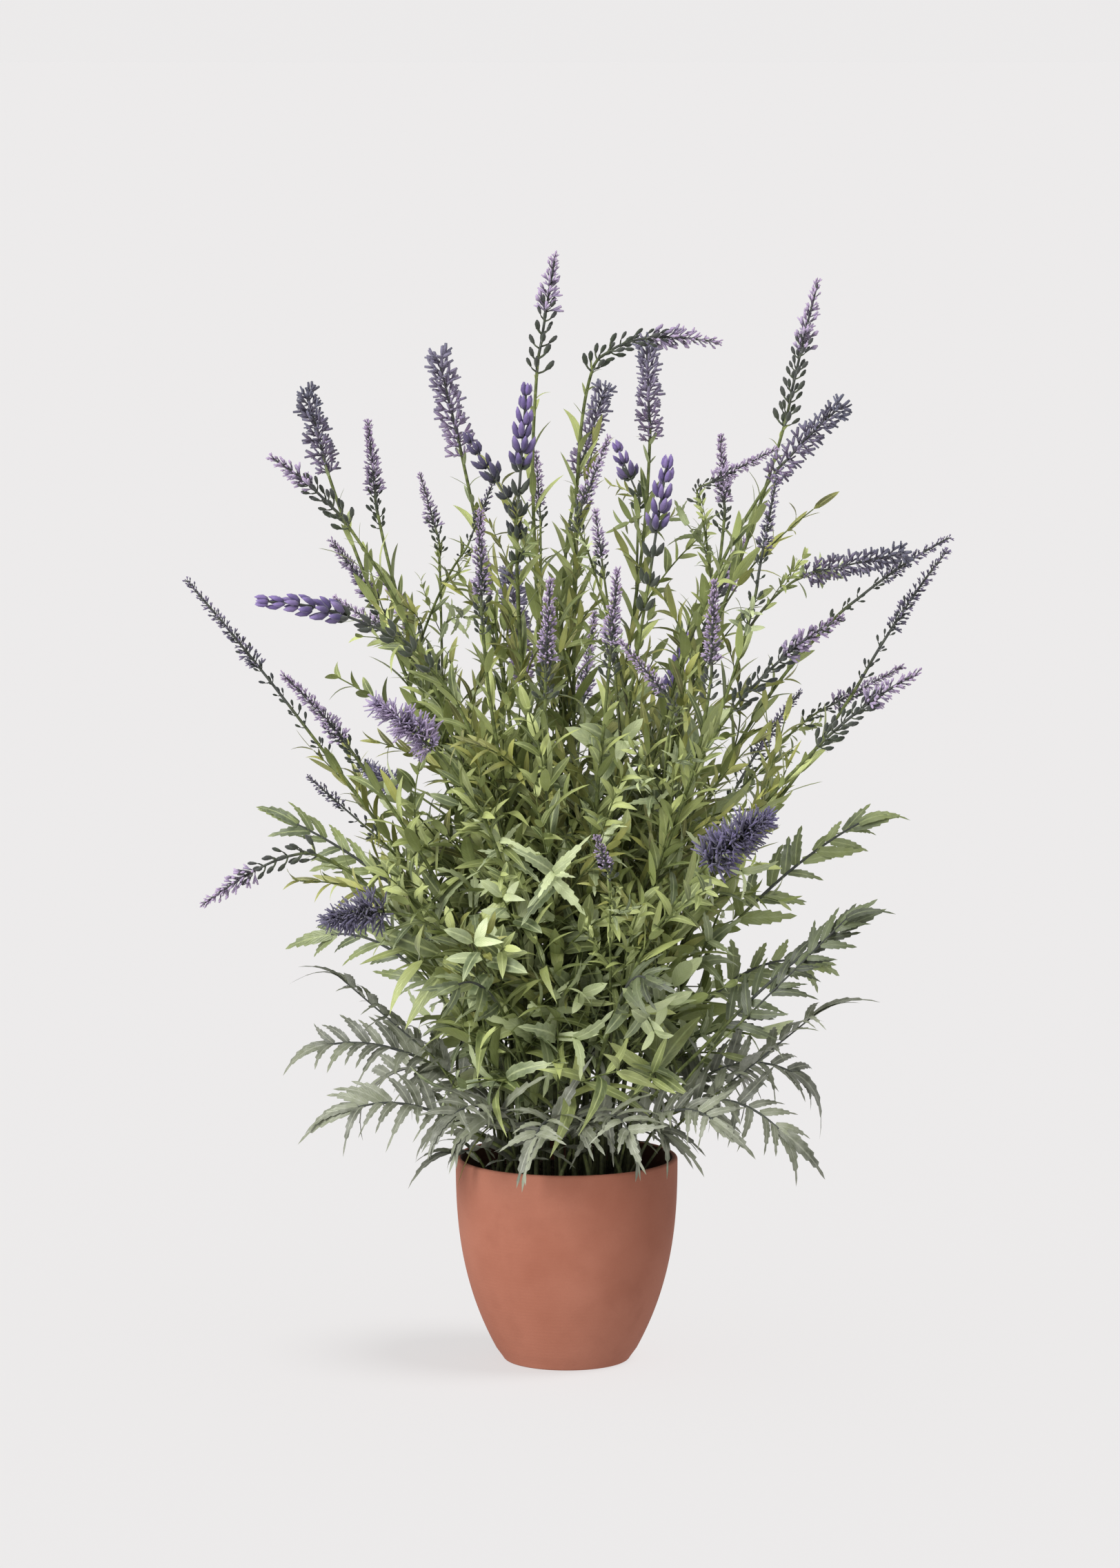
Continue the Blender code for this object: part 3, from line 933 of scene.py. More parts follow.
def twig_mesh(name, leaves, finish, length, bend, seed, size, leans):
    pairs = layer(leaves, finish, (0.24, 0.98), 0.015, 2, (size, size * 0.72), leans, QUARTER_TURN, 0.5)
    points = []
    for i in range(TWIG_POINTS):
        share = i / (TWIG_POINTS - 1)
        points.append((bend * length * share**2, bend * 0.3 * length * share, length * share))
    mesh = route_mesh(name, points, tapered(len(points), *TWIG_RADII))
    tree = spray_tree(name, [pairs])
    return grown(name, mesh, tree, {"Head From": 1.0, "Seed": seed, "Step": 0.012})


def twig_shelf(name, leaves, finish, length, size, leans=(62, 28)):
    made = []
    for i, bend in enumerate(TWIG_BENDS):
        made.append(twig_mesh(f"{name}_{i}", leaves, finish, length, bend, TWIG_SEED + i, size, leans))
    return shelf(name, made)


lance_twigs = twig_shelf("lance_twigs", lance_leaves, spring_green, 0.062, 0.036)
upright_twigs = twig_shelf("upright_twigs", lance_leaves, olive_green, 0.105, 0.032, (30, 14))
oval_twigs = twig_shelf("oval_twigs", oval_leaves, mint_green, 0.062, 0.031)
tall_oval_twigs = twig_shelf("tall_oval_twigs", oval_leaves, spring_green, 0.095, 0.026, (44, 22))
toothed_twigs = twig_shelf("toothed_twigs", toothed_leaves, mint_green, 0.062, 0.040)
arching_twigs = twig_shelf("arching_twigs", arching_leaves, spring_green, 0.070, 0.050, (54, 32))


def leafy_stem(low_twigs, high_twigs):
    """The layers that every flower stem has below its head."""
    return [
        layer(low_twigs, None, (0.28, 0.58), 0.056, 1, (1.10, 0.90), (44, 30), GOLDEN_TURN, 0.5),
        layer(high_twigs, None, (0.40, 0.74), 0.046, 1, (1.0, 0.72), (26, 4), GOLDEN_TURN, 0.4),
        layer(
            lance_leaves, spring_green, (0.40, 0.90), 0.022, 2, (0.042, 0.029), (34, 20), QUARTER_TURN, 0.4
        ),
    ]


# ---- florets and buds ----
# Florets and buds are soft mouldings a few millimetres long, flocked in mauve, violet or slate
# and fixed by a short stalk. Each is made one unit long along +Z, and curls towards +X.

SHADED_FLORET = (0.028, 0.028, 0.042, 1)
LIT_FLORET = (0.500, 0.390, 0.560, 1)
FLORET_FUZZ = (0.38, 0.35, 0.45, 1)


def blob(bm, along_layer, colour_span, rows, sides):
    """A closed spindle through rows of x, y, z and radius."""
    rings = []
    last = len(rows) - 1
    for i, (*point, radius) in enumerate(rows):
        before = Vector(rows[max(i - 1, 0)][:3])
        after = Vector(rows[min(i + 1, last)][:3])
        turn = (after - before).to_track_quat("Z", "X").to_matrix()
        ring = []
        for k in range(sides):
            angle = 2 * math.pi * k / sides
            offset = turn @ Vector((radius * math.cos(angle), radius * math.sin(angle), 0))
            vert = bm.verts.new(Vector(point) + offset)
            vert[along_layer] = colour_span[0] + (colour_span[1] - colour_span[0]) * i / last
            ring.append(vert)
        rings.append(ring)
    for lower, upper in zip(rings, rings[1:]):
        for k in range(sides):
            j = (k + 1) % sides
            bm.faces.new((lower[k], lower[j], upper[j], upper[k]))
    bm.faces.new(reversed(rings[0]))
    bm.faces.new(rings[-1])


def floret_mesh(name, spindles, sides):
    """One floret: each of its spindles is a colour span, and then the rows for its blob."""
    bm = bmesh.new()
    along_layer = bm.verts.layers.float.new("along")
    for colour_span, *rows in spindles:
        blob(bm, along_layer, colour_span, rows, sides)
    return finished_mesh(name, bm)


def floret_shelf(kind, sides, *florets):
    """Two loose florets of one kind to plant from."""
    made = [floret_mesh(f"{kind}_{letter}", floret, sides) for letter, floret in zip("ab", florets)]
    return shelf(kind + "_shelf", made)


def floret_paint():
    """Colour along a floret and up the head, lighter or darker from spray to spray."""
    inputs = [
        ("Stalk", "Color"),
        ("Low", "Color"),
        ("High", "Color"),
        ("Tip", "Color"),
        ("Lift", "Float", 1.0),
    ]
    tree, given, result = new_tree("floret_paint", "ShaderNodeTree", inputs, [("Colour", "Color")])
    tint = attribute(tree, "tint")
    along = attribute(tree, "along")
    rise = plus(tree, attribute(tree, "station"), between(tree, tint, 0.0, 1.0, -0.18, 0.18))
    body = blend_colour(tree, between(tree, rise, 0.0, 1.0), given["Low"], given["High"])
    colour = blend_colour(tree, between(tree, along, 0.10, 0.42), given["Stalk"], body)
    colour = blend_colour(tree, between(tree, along, 0.62, 1.0, 0.0, 0.85), colour, given["Tip"])
    shade = plus(tree, attribute(tree, "shade"), between(tree, tint, 0.0, 1.0, -0.25, 0.25))
    dark = between(tree, shade, 0.0, 0.5, 0.72, 0.0)
    colour = blend_colour(tree, dark, colour, SHADED_FLORET)
    light = times(tree, between(tree, shade, 0.5, 1.0, 0.0, 0.40), given["Lift"])
    colour = blend_colour(tree, light, colour, LIT_FLORET)
    fuzz = times(tree, between(tree, speckle(tree, 1300.0, 2.0), 0.3, 0.7, 0.0, 0.18), given["Lift"])
    tree.links.new(blend_colour(tree, fuzz, colour, FLORET_FUZZ), result["Colour"])
    return tree


FLORET_PAINT = floret_paint()


def floret_finish(name, stalk, low, high, tip, lift=1.0):
    finish, tree, shader = new_finish(name, roughness=0.85, gloss=0.2, sheen=0.25)
    paint = add_node(tree, "ShaderNodeGroup", node_tree=FLORET_PAINT)
    for socket, colour in (("Stalk", stalk), ("Low", low), ("High", high), ("Tip", tip)):
        paint.inputs[socket].default_value = (*colour, 1)
    paint.inputs["Lift"].default_value = lift
    tree.links.new(paint.outputs["Colour"], shader.inputs["Base Color"])
    relief(tree, shader, speckle(tree, 1600.0, 2.0), 0.5, 0.0005)
    return finish


BUD_GREEN = (0.045, 0.060, 0.030)
BUD_BLACK = (0.022, 0.027, 0.023)
MAUVE = (0.310, 0.215, 0.368)
PALE_MAUVE = (0.450, 0.350, 0.500)
VIOLET = (0.155, 0.105, 0.290)
SLATE = (0.082, 0.090, 0.124)
LILAC = (0.262, 0.212, 0.338)

# The colours of the stalk, of the lowest and the highest florets, and of their tips.
dark_bud = floret_finish(
    "dark_bud", (0.075, 0.095, 0.045), BUD_GREEN, (0.050, 0.058, 0.046), BUD_BLACK, lift=0.1
)
mauve_floret = floret_finish("mauve_floret", (0.115, 0.110, 0.110), LILAC, MAUVE, PALE_MAUVE)
dusky_floret = floret_finish(
    "dusky_floret", (0.050, 0.052, 0.050), (0.070, 0.072, 0.100), (0.130, 0.100, 0.190), LILAC, lift=0.6
)
violet_calyx = floret_finish(
    "violet_calyx", (0.035, 0.035, 0.055), (0.060, 0.045, 0.130), VIOLET, (0.22, 0.16, 0.38), lift=0.4
)
slate_floret = floret_finish("slate_floret", LILAC, MAUVE, (0.128, 0.130, 0.188), SLATE, lift=0.8)
violet_plume = floret_finish(
    "violet_plume",
    (0.040, 0.038, 0.085),
    (0.065, 0.055, 0.160),
    (0.105, 0.085, 0.235),
    (0.170, 0.135, 0.320),
    lift=1.9,
)

stalked_buds = floret_shelf(
    "stalked_bud",
    5,
    [
        ((0.0, 0.3), (0, 0, 0, 0.055), (0.06, 0, 0.3, 0.048), (0.04, 0, 0.58, 0.055)),
        (
            (0.4, 1),
            (0.02, 0, 0.48, 0.05),
            (-0.01, 0, 0.66, 0.11),
            (-0.06, 0, 0.86, 0.12),
            (-0.10, 0, 1, 0.05),
        ),
    ],
    [
        ((0.0, 0.3), (0, 0, 0, 0.055), (0.08, 0, 0.28, 0.048), (0.08, 0, 0.5, 0.055)),
        (
            (0.4, 1),
            (0.06, 0, 0.43, 0.05),
            (0.04, 0, 0.6, 0.13),
            (-0.02, 0, 0.82, 0.13),
            (-0.08, 0, 0.98, 0.05),
        ),
    ],
)
slim_florets = floret_shelf(
    "slim_floret",
    4,
    [
        ((0, 1), (0, 0, 0, 0.05), (0.03, 0, 0.4, 0.08), (0.02, 0, 0.78, 0.13), (-0.03, 0, 1, 0.05)),
    ],
    [
        ((0, 0.9), (0, 0, 0, 0.05), (0.03, 0, 0.45, 0.08), (-0.04, 0, 0.9, 0.08)),
        ((0.4, 1), (0.02, 0, 0.4, 0.05), (0.14, 0.05, 0.7, 0.09), (0.24, 0.10, 0.95, 0.05)),
    ],
)
cup_calyces = floret_shelf(
    "cup_calyx",
    6,
    [
        (
            (0, 1),
            (0, 0, 0, 0.06),
            (0.24, 0, 0.06, 0.14),
            (0.38, 0, 0.34, 0.21),
            (0.44, 0, 0.70, 0.16),
            (0.46, 0, 1, 0.03),
        ),
    ],
    [
        (
            (0, 1),
            (0, 0, 0, 0.06),
            (0.22, 0, 0.10, 0.14),
            (0.34, 0, 0.40, 0.22),
            (0.38, 0, 0.72, 0.16),
            (0.40, 0, 0.98, 0.03),
        ),
    ],
)


def forked_floret(wide):
    return [
        ((0.0, 0.4), (0, 0, 0, 0.045), (0.02, 0, 0.35, 0.05), (0, 0, 0.62, 0.065)),
        ((0.4, 1), (0, 0, 0.5, 0.055), (-0.07, 0, 0.78, 0.090), (-0.16, 0, 1.0, 0.070)),
        ((0.4, 1), (0, 0, 0.45, 0.05), (0.12, wide, 0.68, 0.085), (0.24, wide * 1.8, 0.90, 0.065)),
        ((0.4, 1), (0, 0, 0.38, 0.045), (0.08, -wide, 0.58, 0.08), (0.16, -wide * 2.1, 0.76, 0.055)),
    ]


def feather_floret(wide):
    return [
        ((0, 1), (0, 0, 0, 0.045), (0.04, 0, 0.5, 0.055), (-0.06, 0, 1, 0.035)),
        ((0.3, 0.9), (0, 0, 0.3, 0.03), (0.10, wide, 0.52, 0.05), (0.16, wide * 2.3, 0.78, 0.03)),
        ((0.3, 1), (0, 0, 0.4, 0.03), (-0.09, -wide, 0.6, 0.05), (-0.16, -wide * 2.2, 0.86, 0.03)),
        ((0.4, 1), (0, 0, 0.5, 0.03), (0.12, -wide, 0.7, 0.045), (0.24, -wide * 1.5, 0.92, 0.03)),
    ]


forked_florets = floret_shelf("forked_floret", 4, forked_floret(0.09), forked_floret(0.16))
feather_florets = floret_shelf("feather_floret", 3, feather_floret(0.12), feather_floret(0.20))

# ---- tall spires ----
# A slender spike on a long stem. Stalked buds stand out below, green and nearly black, and small
# mauve florets crowd towards the tip.

spire_layers = leafy_stem(lance_twigs, upright_twigs) + [
    layer(lance_leaves, spring_green, (0.95, 0.99), 0.012, 2, (0.014, 0.010), (38, 28), QUARTER_TURN),
    head_layer(stalked_buds, dark_bud, (0.0, 0.56), 0.0086, 4, (0.0135, 0.0095), (48, 42), 0.785, 0.2),
    head_layer(
        slim_florets, mauve_floret, (0.52, 1.0), 0.0034, 4, (0.0112, 0.0050), (52, 26), GOLDEN_TURN, 0.45
    ),
]
spire_kind = spray_tree("spire_spray", spire_layers)
grow_kind("spire", spire_kind, (0.75, 0.9, 0.6, 0.8, 0.6, 0.75, 0.35, 0.6, 0.5))

# ---- stubby spikes ----
# A long thin spike, dark all over. Tufts of small stubs stand apart on the bare stem and close up
# into a narrow tip.

stub_layers = leafy_stem(lance_twigs, upright_twigs) + [
    head_layer(stalked_buds, dark_bud, (-0.12, 0.62), 0.0125, 4, (0.0084, 0.0066), (54, 44), 0.9, 0.35),
    head_layer(
        slim_florets, dusky_floret, (0.45, 1.0), 0.0034, 5, (0.0070, 0.0038), (58, 34), GOLDEN_TURN, 0.4
    ),
]
stub_kind = spray_tree("stub_spray", stub_layers)
grow_kind("stub", stub_kind, (0.45, 0.3, 0.3, 0.6, 0.4))

# ---- forked heads ----
# A chunky upright head, mauve at the stem and slate at the tips. Its soft florets fork in three,
# and stand so close round the stem that it doesn't show.

forked_layers = leafy_stem(oval_twigs, tall_oval_twigs) + [
    layer(lance_leaves, mint_green, (0.93, 0.99), 0.014, 2, (0.016, 0.012), (40, 30), QUARTER_TURN),
    head_layer(
        forked_florets, slate_floret, (0.0, 0.97), 0.0056, 6, (0.0112, 0.0128), (64, 42), GOLDEN_TURN
    ),
]
forked_kind = spray_tree("forked_spray", forked_layers)
grow_kind("forked", forked_kind, (0.75, 0.25, 0.6, 0.6, 0.3, 0.5), (1.0, 0.95, 0.80, 0.88, 0.88, 0.95))

# ---- whorled lavender ----
# The classic lavender head: whorls of pointed calyces, violet above, and green-black below where
# they stand apart on the stem.

whorled_layers = leafy_stem(lance_twigs, upright_twigs) + [
    head_layer(cup_calyces, dark_bud, (-0.30, 0.42), 0.0150, 4, (0.0100, 0.0100), (18, 12), 0.5, 0.12),
    head_layer(cup_calyces, violet_calyx, (0.46, 1.0), 0.0102, 5, (0.0122, 0.0084), (20, -6), 0.63, 0.15),
]
whorled_kind = spray_tree("whorled_spray", whorled_layers)
grow_kind("whorled", whorled_kind, (0.5, 0.65, 0.7, 0.5))

# ---- feathery plumes ----
# A soft full head of branched hairs, from nearly black to light purple. Some heads start higher
# on their stem than the others, so each has the ring that it starts from.

PLUME_RINGS = 15

plume_layers = leafy_stem(oval_twigs, tall_oval_twigs) + [
    head_layer(
        feather_florets, violet_plume, (0.0, 1.0), 0.0032, 8, (0.0165, 0.0110), (70, 28), GOLDEN_TURN, 0.75
    ),
]
plume_kind = spray_tree("plume_spray", plume_layers)
for i, node in enumerate(nodes_of("plume")):
    head_ring = (7, 8, 7, 8)[i]
    # The fourth plume stands at the back: its low shade value is painted shade, darkening it so that it
    # seems to lie in shadow behind the others.
    shade = (0.12, -0.40, 1.0, 0.1)[i]
    growth = (1.05, 0.95, 0.85, 0.6)[i]
    seed = FIRST_SEEDS["plume"] + i
    grow_spray(node, plume_kind, seed, shade, growth, keep=PLUME_RINGS, head_ring=head_ring)

# ---- fine heads ----
# A narrow fuzzy head on a stem with toothed leaves. Small dark buds stand out below, and tight
# mauve florets cover it above.

fine_layers = leafy_stem(toothed_twigs, tall_oval_twigs) + [
    head_layer(stalked_buds, dark_bud, (-0.15, 0.36), 0.0064, 4, (0.0090, 0.0070), (52, 46), 0.8, 0.4),
    head_layer(
        slim_florets, mauve_floret, (0.22, 1.0), 0.0028, 6, (0.0078, 0.0044), (64, 28), GOLDEN_TURN, 0.4
    ),
]
fine_kind = spray_tree("fine_spray", fine_layers)
grow_kind("fine", fine_kind, (0.5, 0.85, 0.6, 0.35, 0.4, 0.8, 0.9, 0.7, 0.5))

# ---- silver fronds ----
# Low fronds that arch over the rim. Toothed leaflets in pairs hang from a thin rib like a ridged
# roof, powdered a dusty grey green.

SILVER_TURN = math.radians(42)

silver_layers = [
    head_layer(
        scythe_leaflets, silver_green, (-0.1, 0.92), 0.0105, 2, (0.039, 0.031), (60, 44), 0.0, 0.3,
        roll=QUARTER_TURN,
        sag=-34,
    ),
    head_layer(
        scythe_leaflets, silver_green, (0.97, 1.0), 0.010, 1, (0.040, 0.048), (8, 4), 0.0, 0.3,
        roll=QUARTER_TURN,
    ),
    layer(scythe_leaflets, silver_green, (0.50, 0.92), 0.020, 2, (0.034, 0.042), (50, 50), 0.6, 0.6),
]
silver_kind = spray_tree("silver_frond", silver_layers, side_normals=True)
for i, node in enumerate(nodes_of("silver_frond")):
    growth = (1.0, 1.0, 0.90, 0.85, 0.85, 0.90, 1.0, 1.0, 1.0, 1.0, 1.0, 1.0)[i]
    keep = 13 if i in (2, 3, 4, 5) else 14
    low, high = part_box(node)
    middle = (low + high) / 2
    turn = SILVER_TURN * middle.x / math.hypot(middle.x, middle.y)
    grow_spray(node, silver_kind, FIRST_SEEDS["silver_frond"] + i, 0.5, growth, turn, keep)

# ---- green fronds ----
# Longer fronds in light green, held out and up between the flower stems. Their pairs of leaflets
# stand upright on the rib. Two are a dark slate green.

GREEN_TURN = math.radians(65)
GREEN_RINGS = 15
SLATE_FRONDS = ("green_frond_03", "green_frond_06")


def frond_layers(finish, size):
    """Pairs of leaflets down the rib, and one at its end."""
    pairs = (size, size * 0.8)
    end = (size, size * 1.1)
    return [
        head_layer(
            toothed_leaves, finish, (0.0, 0.92), 0.0145, 2, pairs, (48, 32), 0.0, 0.45, roll=QUARTER_TURN
        ),
        head_layer(toothed_leaves, finish, (0.97, 1.0), 0.010, 1, end, (8, 4), 0.0, 0.4, roll=QUARTER_TURN),
    ]


frond_twigs = layer(toothed_twigs, None, (0.30, 0.80), 0.045, 1, (1.1, 0.9), (45, 35), GOLDEN_TURN, 0.5)
green_layers = [frond_twigs] + frond_layers(frond_green, 0.036)
green_kind = spray_tree("green_frond", green_layers, side_normals=True)
slate_kind = spray_tree("slate_frond", frond_layers(slate_green, 0.031), side_normals=True)
for i, node in enumerate(nodes_of("green_frond")):
    low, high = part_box(node)
    turn = math.copysign(GREEN_TURN, low.x + high.x)
    kind = slate_kind if node in SLATE_FRONDS else green_kind
    grow_spray(node, kind, FIRST_SEEDS["green_frond"] + i, 0.5, 1.0, turn, keep=GREEN_RINGS)

# ---- side sprays ----
# Smaller heads that branch off the taller stems, and a few more fronds low at the sides. Each is
# wired on to its stem, and curves away from it to where its head starts and ends.

SIDE_STEM_RADII = (0.0010, 0.0005)
SIDE_LEAF_GROWTH = 0.45
SIDE_BEND_SHARE = 0.45
SIDE_BEND_RISE = 0.18
HEAD_POINTS = 5
FIRST_SIDE_SEED = 9000
FIRST_FROND_SEED = 9100

def stem_point(node, height):
    route = stem_route(node)
    for one, other in zip(route, route[1:]):
        if other.z >= height:
            return one.lerp(other, (height - one.z) / (other.z - one.z))
    return route[-1]


def side_route(start, base, tip):
    """The points up to the head, bending upwards, and those along it."""
    start, base, tip = Vector(start), Vector(base), Vector(tip)
    bend = start.lerp(base, SIDE_BEND_SHARE)
    bend.z += SIDE_BEND_RISE * (base - start).length
    points = []
    for i in range(HEAD_RING + 1):
        share = i / HEAD_RING
        points.append(start.lerp(bend, share).lerp(bend.lerp(base, share), share))
    for i in range(1, HEAD_POINTS + 1):
        points.append(base.lerp(tip, i / HEAD_POINTS))
    return points


def grow_side_spray(name, kind, route, seed, shade, growth=0.85, turn=0.0):
    mesh = route_mesh(name, route, tapered(len(route), *SIDE_STEM_RADII))
    values = spray_values(route, HEAD_RING, seed, shade, growth, SIDE_LEAF_GROWTH, turn)
    add_piece(name, grown(name, mesh, kind, values))


# Kind, stem, branching height, start and end of the head, shade.
SIDE_HEADS = (
    ("fine", "whorled_02", 0.45, (0.006, -0.060, 0.577), (0.027, -0.060, 0.631), 0.85),
    ("whorled", "forked_04", 0.52, (0.050, 0.110, 0.580), (0.036, 0.130, 0.611), 0.60),
    ("forked", "stub_04", 0.50, (0.158, -0.060, 0.542), (0.218, -0.080, 0.557), 0.15),
    ("fine", "stub_05", 0.33, (0.173, 0.120, 0.429), (0.233, 0.140, 0.459), 0.60),
    ("fine", "spire_09", 0.38, (-0.119, 0.040, 0.492), (-0.157, 0.060, 0.514), 0.90),
    ("fine", "spire_09", 0.44, (-0.088, 0.110, 0.550), (-0.101, 0.130, 0.593), 0.45),
    ("stub", "forked_02", 0.46, (-0.067, -0.020, 0.556), (-0.050, -0.030, 0.598), 0.20),
    ("stub", "stub_03", 0.27, (-0.132, -0.050, 0.370), (-0.171, -0.060, 0.406), 0.15),
    ("fine", "plume_01", 0.22, (0.028, -0.130, 0.350), (0.020, -0.140, 0.376), 0.40),
    ("fine", "spire_07", 0.36, (0.070, -0.120, 0.462), (0.036, -0.130, 0.503), 0.85),
    ("fine", "spire_01", 0.45, (-0.018, 0.070, 0.569), (-0.021, 0.090, 0.611), 0.80),
    ("fine", "whorled_02", 0.42, (0.024, -0.060, 0.545), (0.019, -0.070, 0.583), 0.70),
    ("whorled", "whorled_01", 0.50, (-0.035, -0.050, 0.585), (-0.064, -0.030, 0.628), -0.20),
    ("fine", "spire_02", 0.50, (0.088, 0.020, 0.592), (0.140, 0.010, 0.620), 0.95),
)
KINDS = {"stub": stub_kind, "forked": forked_kind, "whorled": whorled_kind, "fine": fine_kind}
for i, (kind, node, height, base, tip, shade) in enumerate(SIDE_HEADS):
    route = side_route(stem_point(node, height), base, tip)
    grow_side_spray(f"{kind}_side_spray_{i + 1}", KINDS[kind], route, FIRST_SIDE_SEED + i, shade)

# Slot, foot, start and end of the leaflets.
SIDE_FRONDS = (
    ("green_frond", (0.040, -0.035, 0.128), (0.115, -0.060, 0.240), (0.186, -0.080, 0.315)),
    ("silver_frond", (0.048, -0.028, 0.128), (0.100, -0.045, 0.190), (0.165, -0.050, 0.244)),
    ("silver_frond", (-0.046, -0.030, 0.128), (-0.090, -0.040, 0.215), (-0.150, -0.040, 0.267)),
    ("silver_frond", (-0.052, -0.026, 0.128), (-0.064, -0.034, 0.150), (-0.076, -0.042, 0.150)),
    ("silver_frond", (0.004, -0.038, 0.128), (0.006, -0.050, 0.178), (0.010, -0.086, 0.176)),
    ("silver_frond", (0.034, -0.032, 0.128), (0.044, -0.042, 0.172), (0.062, -0.062, 0.168)),
    ("silver_frond", (-0.032, -0.036, 0.128), (-0.042, -0.050, 0.176), (-0.060, -0.074, 0.174)),
)
for i, (slot, start, base, tip) in enumerate(SIDE_FRONDS):
    kind = slate_kind if slot == "green_frond" else silver_kind
    turn = math.copysign(GREEN_TURN, tip[0]) if slot == "green_frond" else 0.0
    route = side_route(start, base, tip)
    name = f"{slot}_side_spray_{i + 1}"
    grow_side_spray(name, kind, route, FIRST_FROND_SEED + i, 0.5, 0.9, turn)

# ---- leafy stems ----
# Stems without a flower fill the middle of the pot with leaves: mint, willow and lance leaves in
# pairs, and twigs of them, thickest where the stems arch outwards.

LEAFY_STEM_COUNT = 9
LEAFY_STEM_HEIGHT = (0.25, 0.46)
LEAFY_STEM_REACH = 0.085
LEAFY_STEM_RADII = (0.0013, 0.0006)
LEAFY_STEM_DEPTH = 0.85
LEAFY_STEM_SEED = 9200
LEAFY_HEIGHT_SEED = 5
LEAFY_HEIGHT_SPREAD = 0.02

mint_layers = [
    layer(oval_twigs, None, (0.38, 0.96), 0.034, 1, (1.25, 0.9), (55, 35), GOLDEN_TURN, 0.5),
    layer(oval_leaves, mint_green, (0.42, 1.0), 0.020, 2, (0.040, 0.028), (60, 28), QUARTER_TURN, 0.4),
]
willow_layers = [
    layer(arching_twigs, None, (0.36, 0.96), 0.036, 1, (1.15, 0.9), (55, 35), GOLDEN_TURN, 0.5),
    layer(arching_leaves, spring_green, (0.42, 1.0), 0.018, 2, (0.060, 0.042), (50, 28), QUARTER_TURN, 0.4),
]
lance_layers = [
    layer(lance_twigs, None, (0.36, 0.80), 0.036, 1, (1.2, 0.9), (45, 30), GOLDEN_TURN, 0.5),
    layer(upright_twigs, None, (0.45, 0.90), 0.050, 1, (1.0, 0.8), (28, 18), GOLDEN_TURN, 0.5),
    layer(lance_leaves, spring_green, (0.42, 1.0), 0.019, 2, (0.046, 0.030), (40, 22), QUARTER_TURN, 0.4),
]
leafy_kinds = (
    spray_tree("mint_stem", mint_layers),
    spray_tree("willow_stem", willow_layers),
    spray_tree("lance_stem", lance_layers),
)
chance = random.Random(LEAFY_HEIGHT_SEED)
for i in range(LEAFY_STEM_COUNT):
    angle = GOLDEN_TURN * i + 0.4
    share = math.sqrt((i + 0.5) / LEAFY_STEM_COUNT)
    outward = Vector((math.cos(angle), LEAFY_STEM_DEPTH * math.sin(angle), 0))
    lowest, highest = LEAFY_STEM_HEIGHT
    height = highest + (lowest - highest) * share**1.5
    foot = outward * (0.012 + 0.040 * share) + Vector((0, 0, SOIL_TOP - 0.003))
    base = foot + outward * 0.018 + Vector((0, 0, 0.04))
    height += chance.uniform(-LEAFY_HEIGHT_SPREAD, LEAFY_HEIGHT_SPREAD)
    tip = outward * LEAFY_STEM_REACH * share + Vector((0, 0, height))
    name = f"leafy_stem_{i + 1:02d}"
    route = side_route(foot, base, tip)
    mesh = route_mesh(name, route, tapered(len(route), *LEAFY_STEM_RADII))
    values = {"Head From": 1.0, "Seed": LEAFY_STEM_SEED + i}
    add_piece(name, grown(name, mesh, leafy_kinds[i % 3], values))

# ---- studio ----
# A plain pale floor that runs to the horizon, under a soft sky that is bright all round and dimmer
# overhead. A broad key stands at the left, a high lamp lights the top, and a weak one gives the
# floor its faint shadow.

HORIZON_GLOW = 0.838
OVERHEAD_GLOW = 0.34
FLOOR_COLOUR = (0.27, 0.266, 0.266, 1)
FLOOR_GLOW = 0.630
FLOOR_HALF_WIDTH = 300
STUDIO_WHITE = (1.0, 0.985, 0.985, 1)
KEY_DIRECTION = (0.66, 0.70, -0.58)
KEY_STRENGTH = 3.3
KEY_SPREAD = 35
HIGH_DIRECTION = (-0.20, 0.30, -0.90)
HIGH_STRENGTH = 1.2
HIGH_SPREAD = 40
FLOOR_LAMP_DIRECTION = (-0.52, 0.12, -0.85)
FLOOR_LAMP_STRENGTH = 1.5
FLOOR_LAMP_SPREAD = 30
CAMERA_PLACE = (-0.0045, -4.0, 0.89)
CAMERA_PITCH = math.radians(90 - 7.06)
CAMERA_LENS = 137.1
CAMERA_SENSOR = 36.0


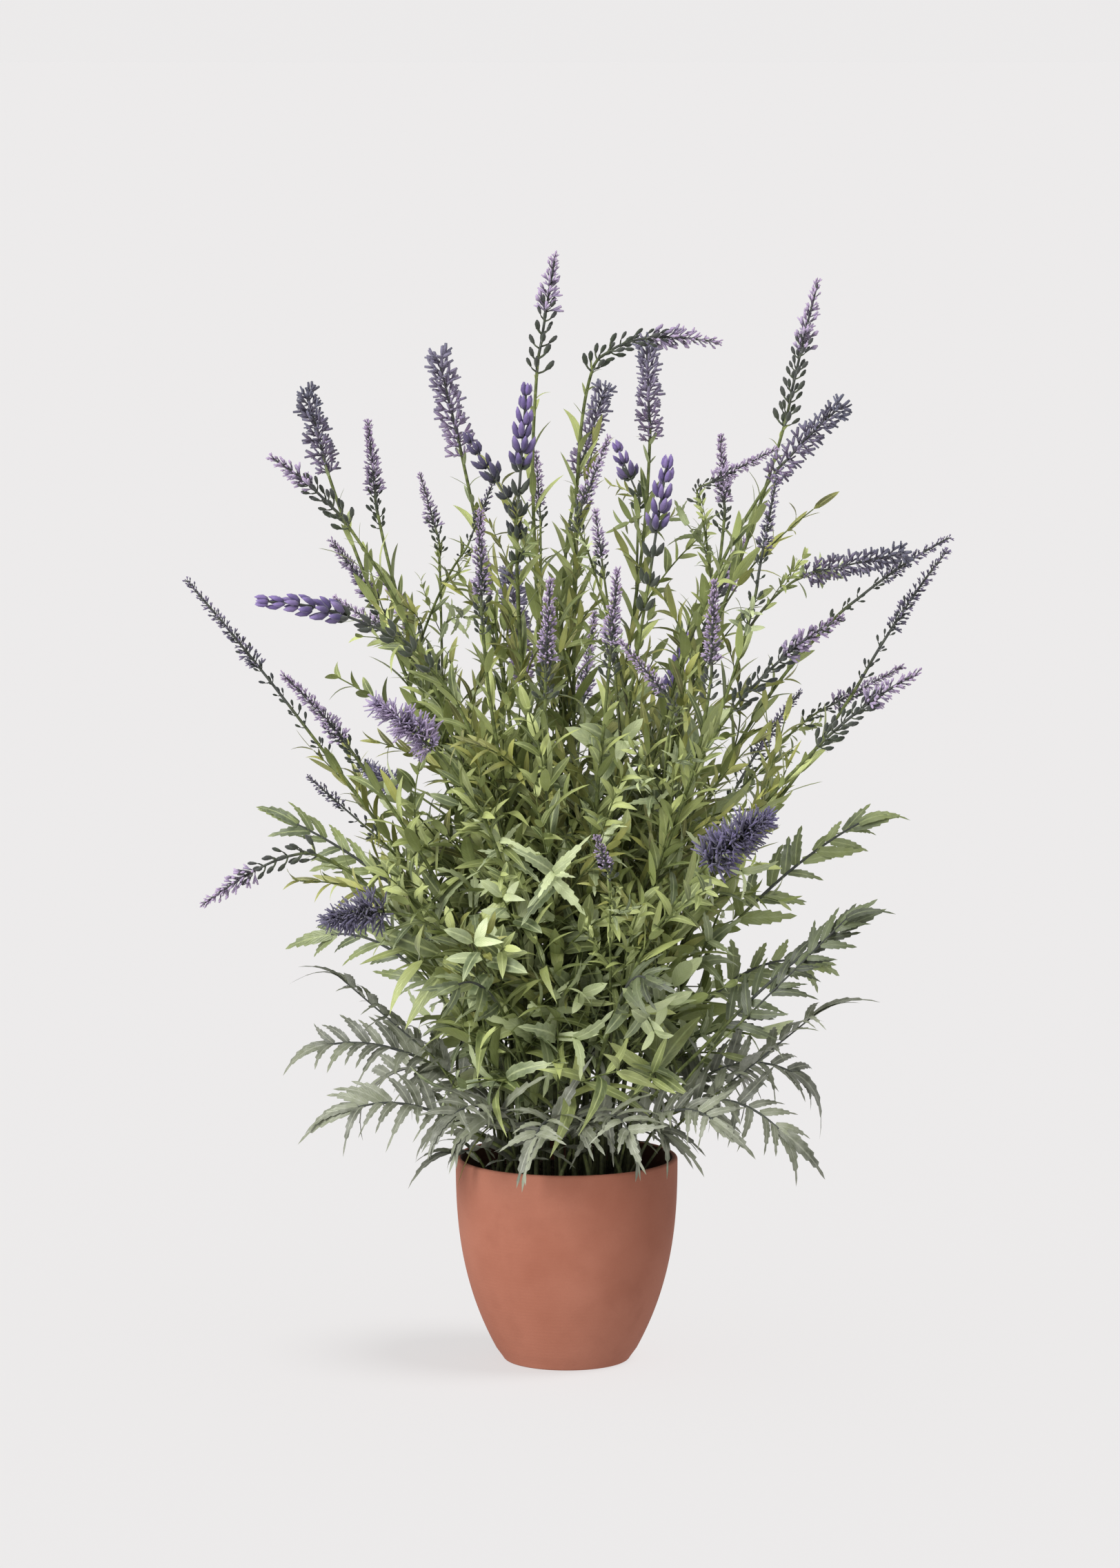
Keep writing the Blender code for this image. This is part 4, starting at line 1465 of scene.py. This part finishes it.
def plain_floor():
    finish, tree, shader = new_finish("plain_floor", roughness=0.9, gloss=0.0)
    shader.inputs["Base Color"].default_value = FLOOR_COLOUR
    shader.inputs["Emission Color"].default_value = STUDIO_WHITE
    shader.inputs["Emission Strength"].default_value = FLOOR_GLOW
    bm = bmesh.new()
    bmesh.ops.create_grid(bm, x_segments=1, y_segments=1, size=FLOOR_HALF_WIDTH)
    floor = put_in_scene("floor", finished_mesh("floor", bm))
    floor.data.materials.append(finish)
    return floor


def soft_sun(name, direction, strength, spread_deg, floor, lights_floor):
    """A lamp that lights either the object alone or the floor alone."""
    light = bpy.data.lights.new(name, "SUN")
    light.energy = strength
    light.angle = math.radians(spread_deg)
    lamp = put_in_scene(name, light)
    lamp.rotation_euler = Vector(direction).to_track_quat("-Z", "Y").to_euler()
    lit = bpy.data.collections.new(name + "_lights")
    lit.objects.link(floor)
    lit.collection_objects[0].light_linking.link_state = "INCLUDE" if lights_floor else "EXCLUDE"
    lamp.light_linking.receiver_collection = lit
    return lamp


def soft_sky():
    world = bpy.data.worlds.new("soft_sky")
    world.use_nodes = True
    tree = world.node_tree
    background = tree.nodes["Background"]
    view = add_node(tree, "ShaderNodeTexCoord").outputs["Generated"]
    height = add_node(tree, "ShaderNodeSeparateXYZ", {"Vector": view}).outputs["Z"]
    glow = between(tree, height, 0.16, 0.45, HORIZON_GLOW, OVERHEAD_GLOW)
    background.inputs["Color"].default_value = STUDIO_WHITE
    feed(tree, background.inputs["Strength"], glow)
    bpy.context.scene.world = world


def set_camera():
    data = bpy.data.cameras.new("camera")
    data.lens = CAMERA_LENS
    data.sensor_width = CAMERA_SENSOR
    camera = put_in_scene("camera", data)
    camera.location = CAMERA_PLACE
    camera.rotation_euler = (CAMERA_PITCH, 0, 0)
    bpy.context.scene.camera = camera


floor = plain_floor()
soft_sun("key", KEY_DIRECTION, KEY_STRENGTH, KEY_SPREAD, floor, False)
soft_sun("high", HIGH_DIRECTION, HIGH_STRENGTH, HIGH_SPREAD, floor, False)
floor_lamp = soft_sun(
    "floor_lamp", FLOOR_LAMP_DIRECTION, FLOOR_LAMP_STRENGTH, FLOOR_LAMP_SPREAD, floor, True
)
shadow = bpy.data.collections.new("floor_shadow")
shadow.objects.link(pot)
shadow.collection_objects[0].light_linking.link_state = "INCLUDE"
floor_lamp.light_linking.blocker_collection = shadow
soft_sky()
set_camera()
bpy.context.scene.view_settings.view_transform = "Standard"
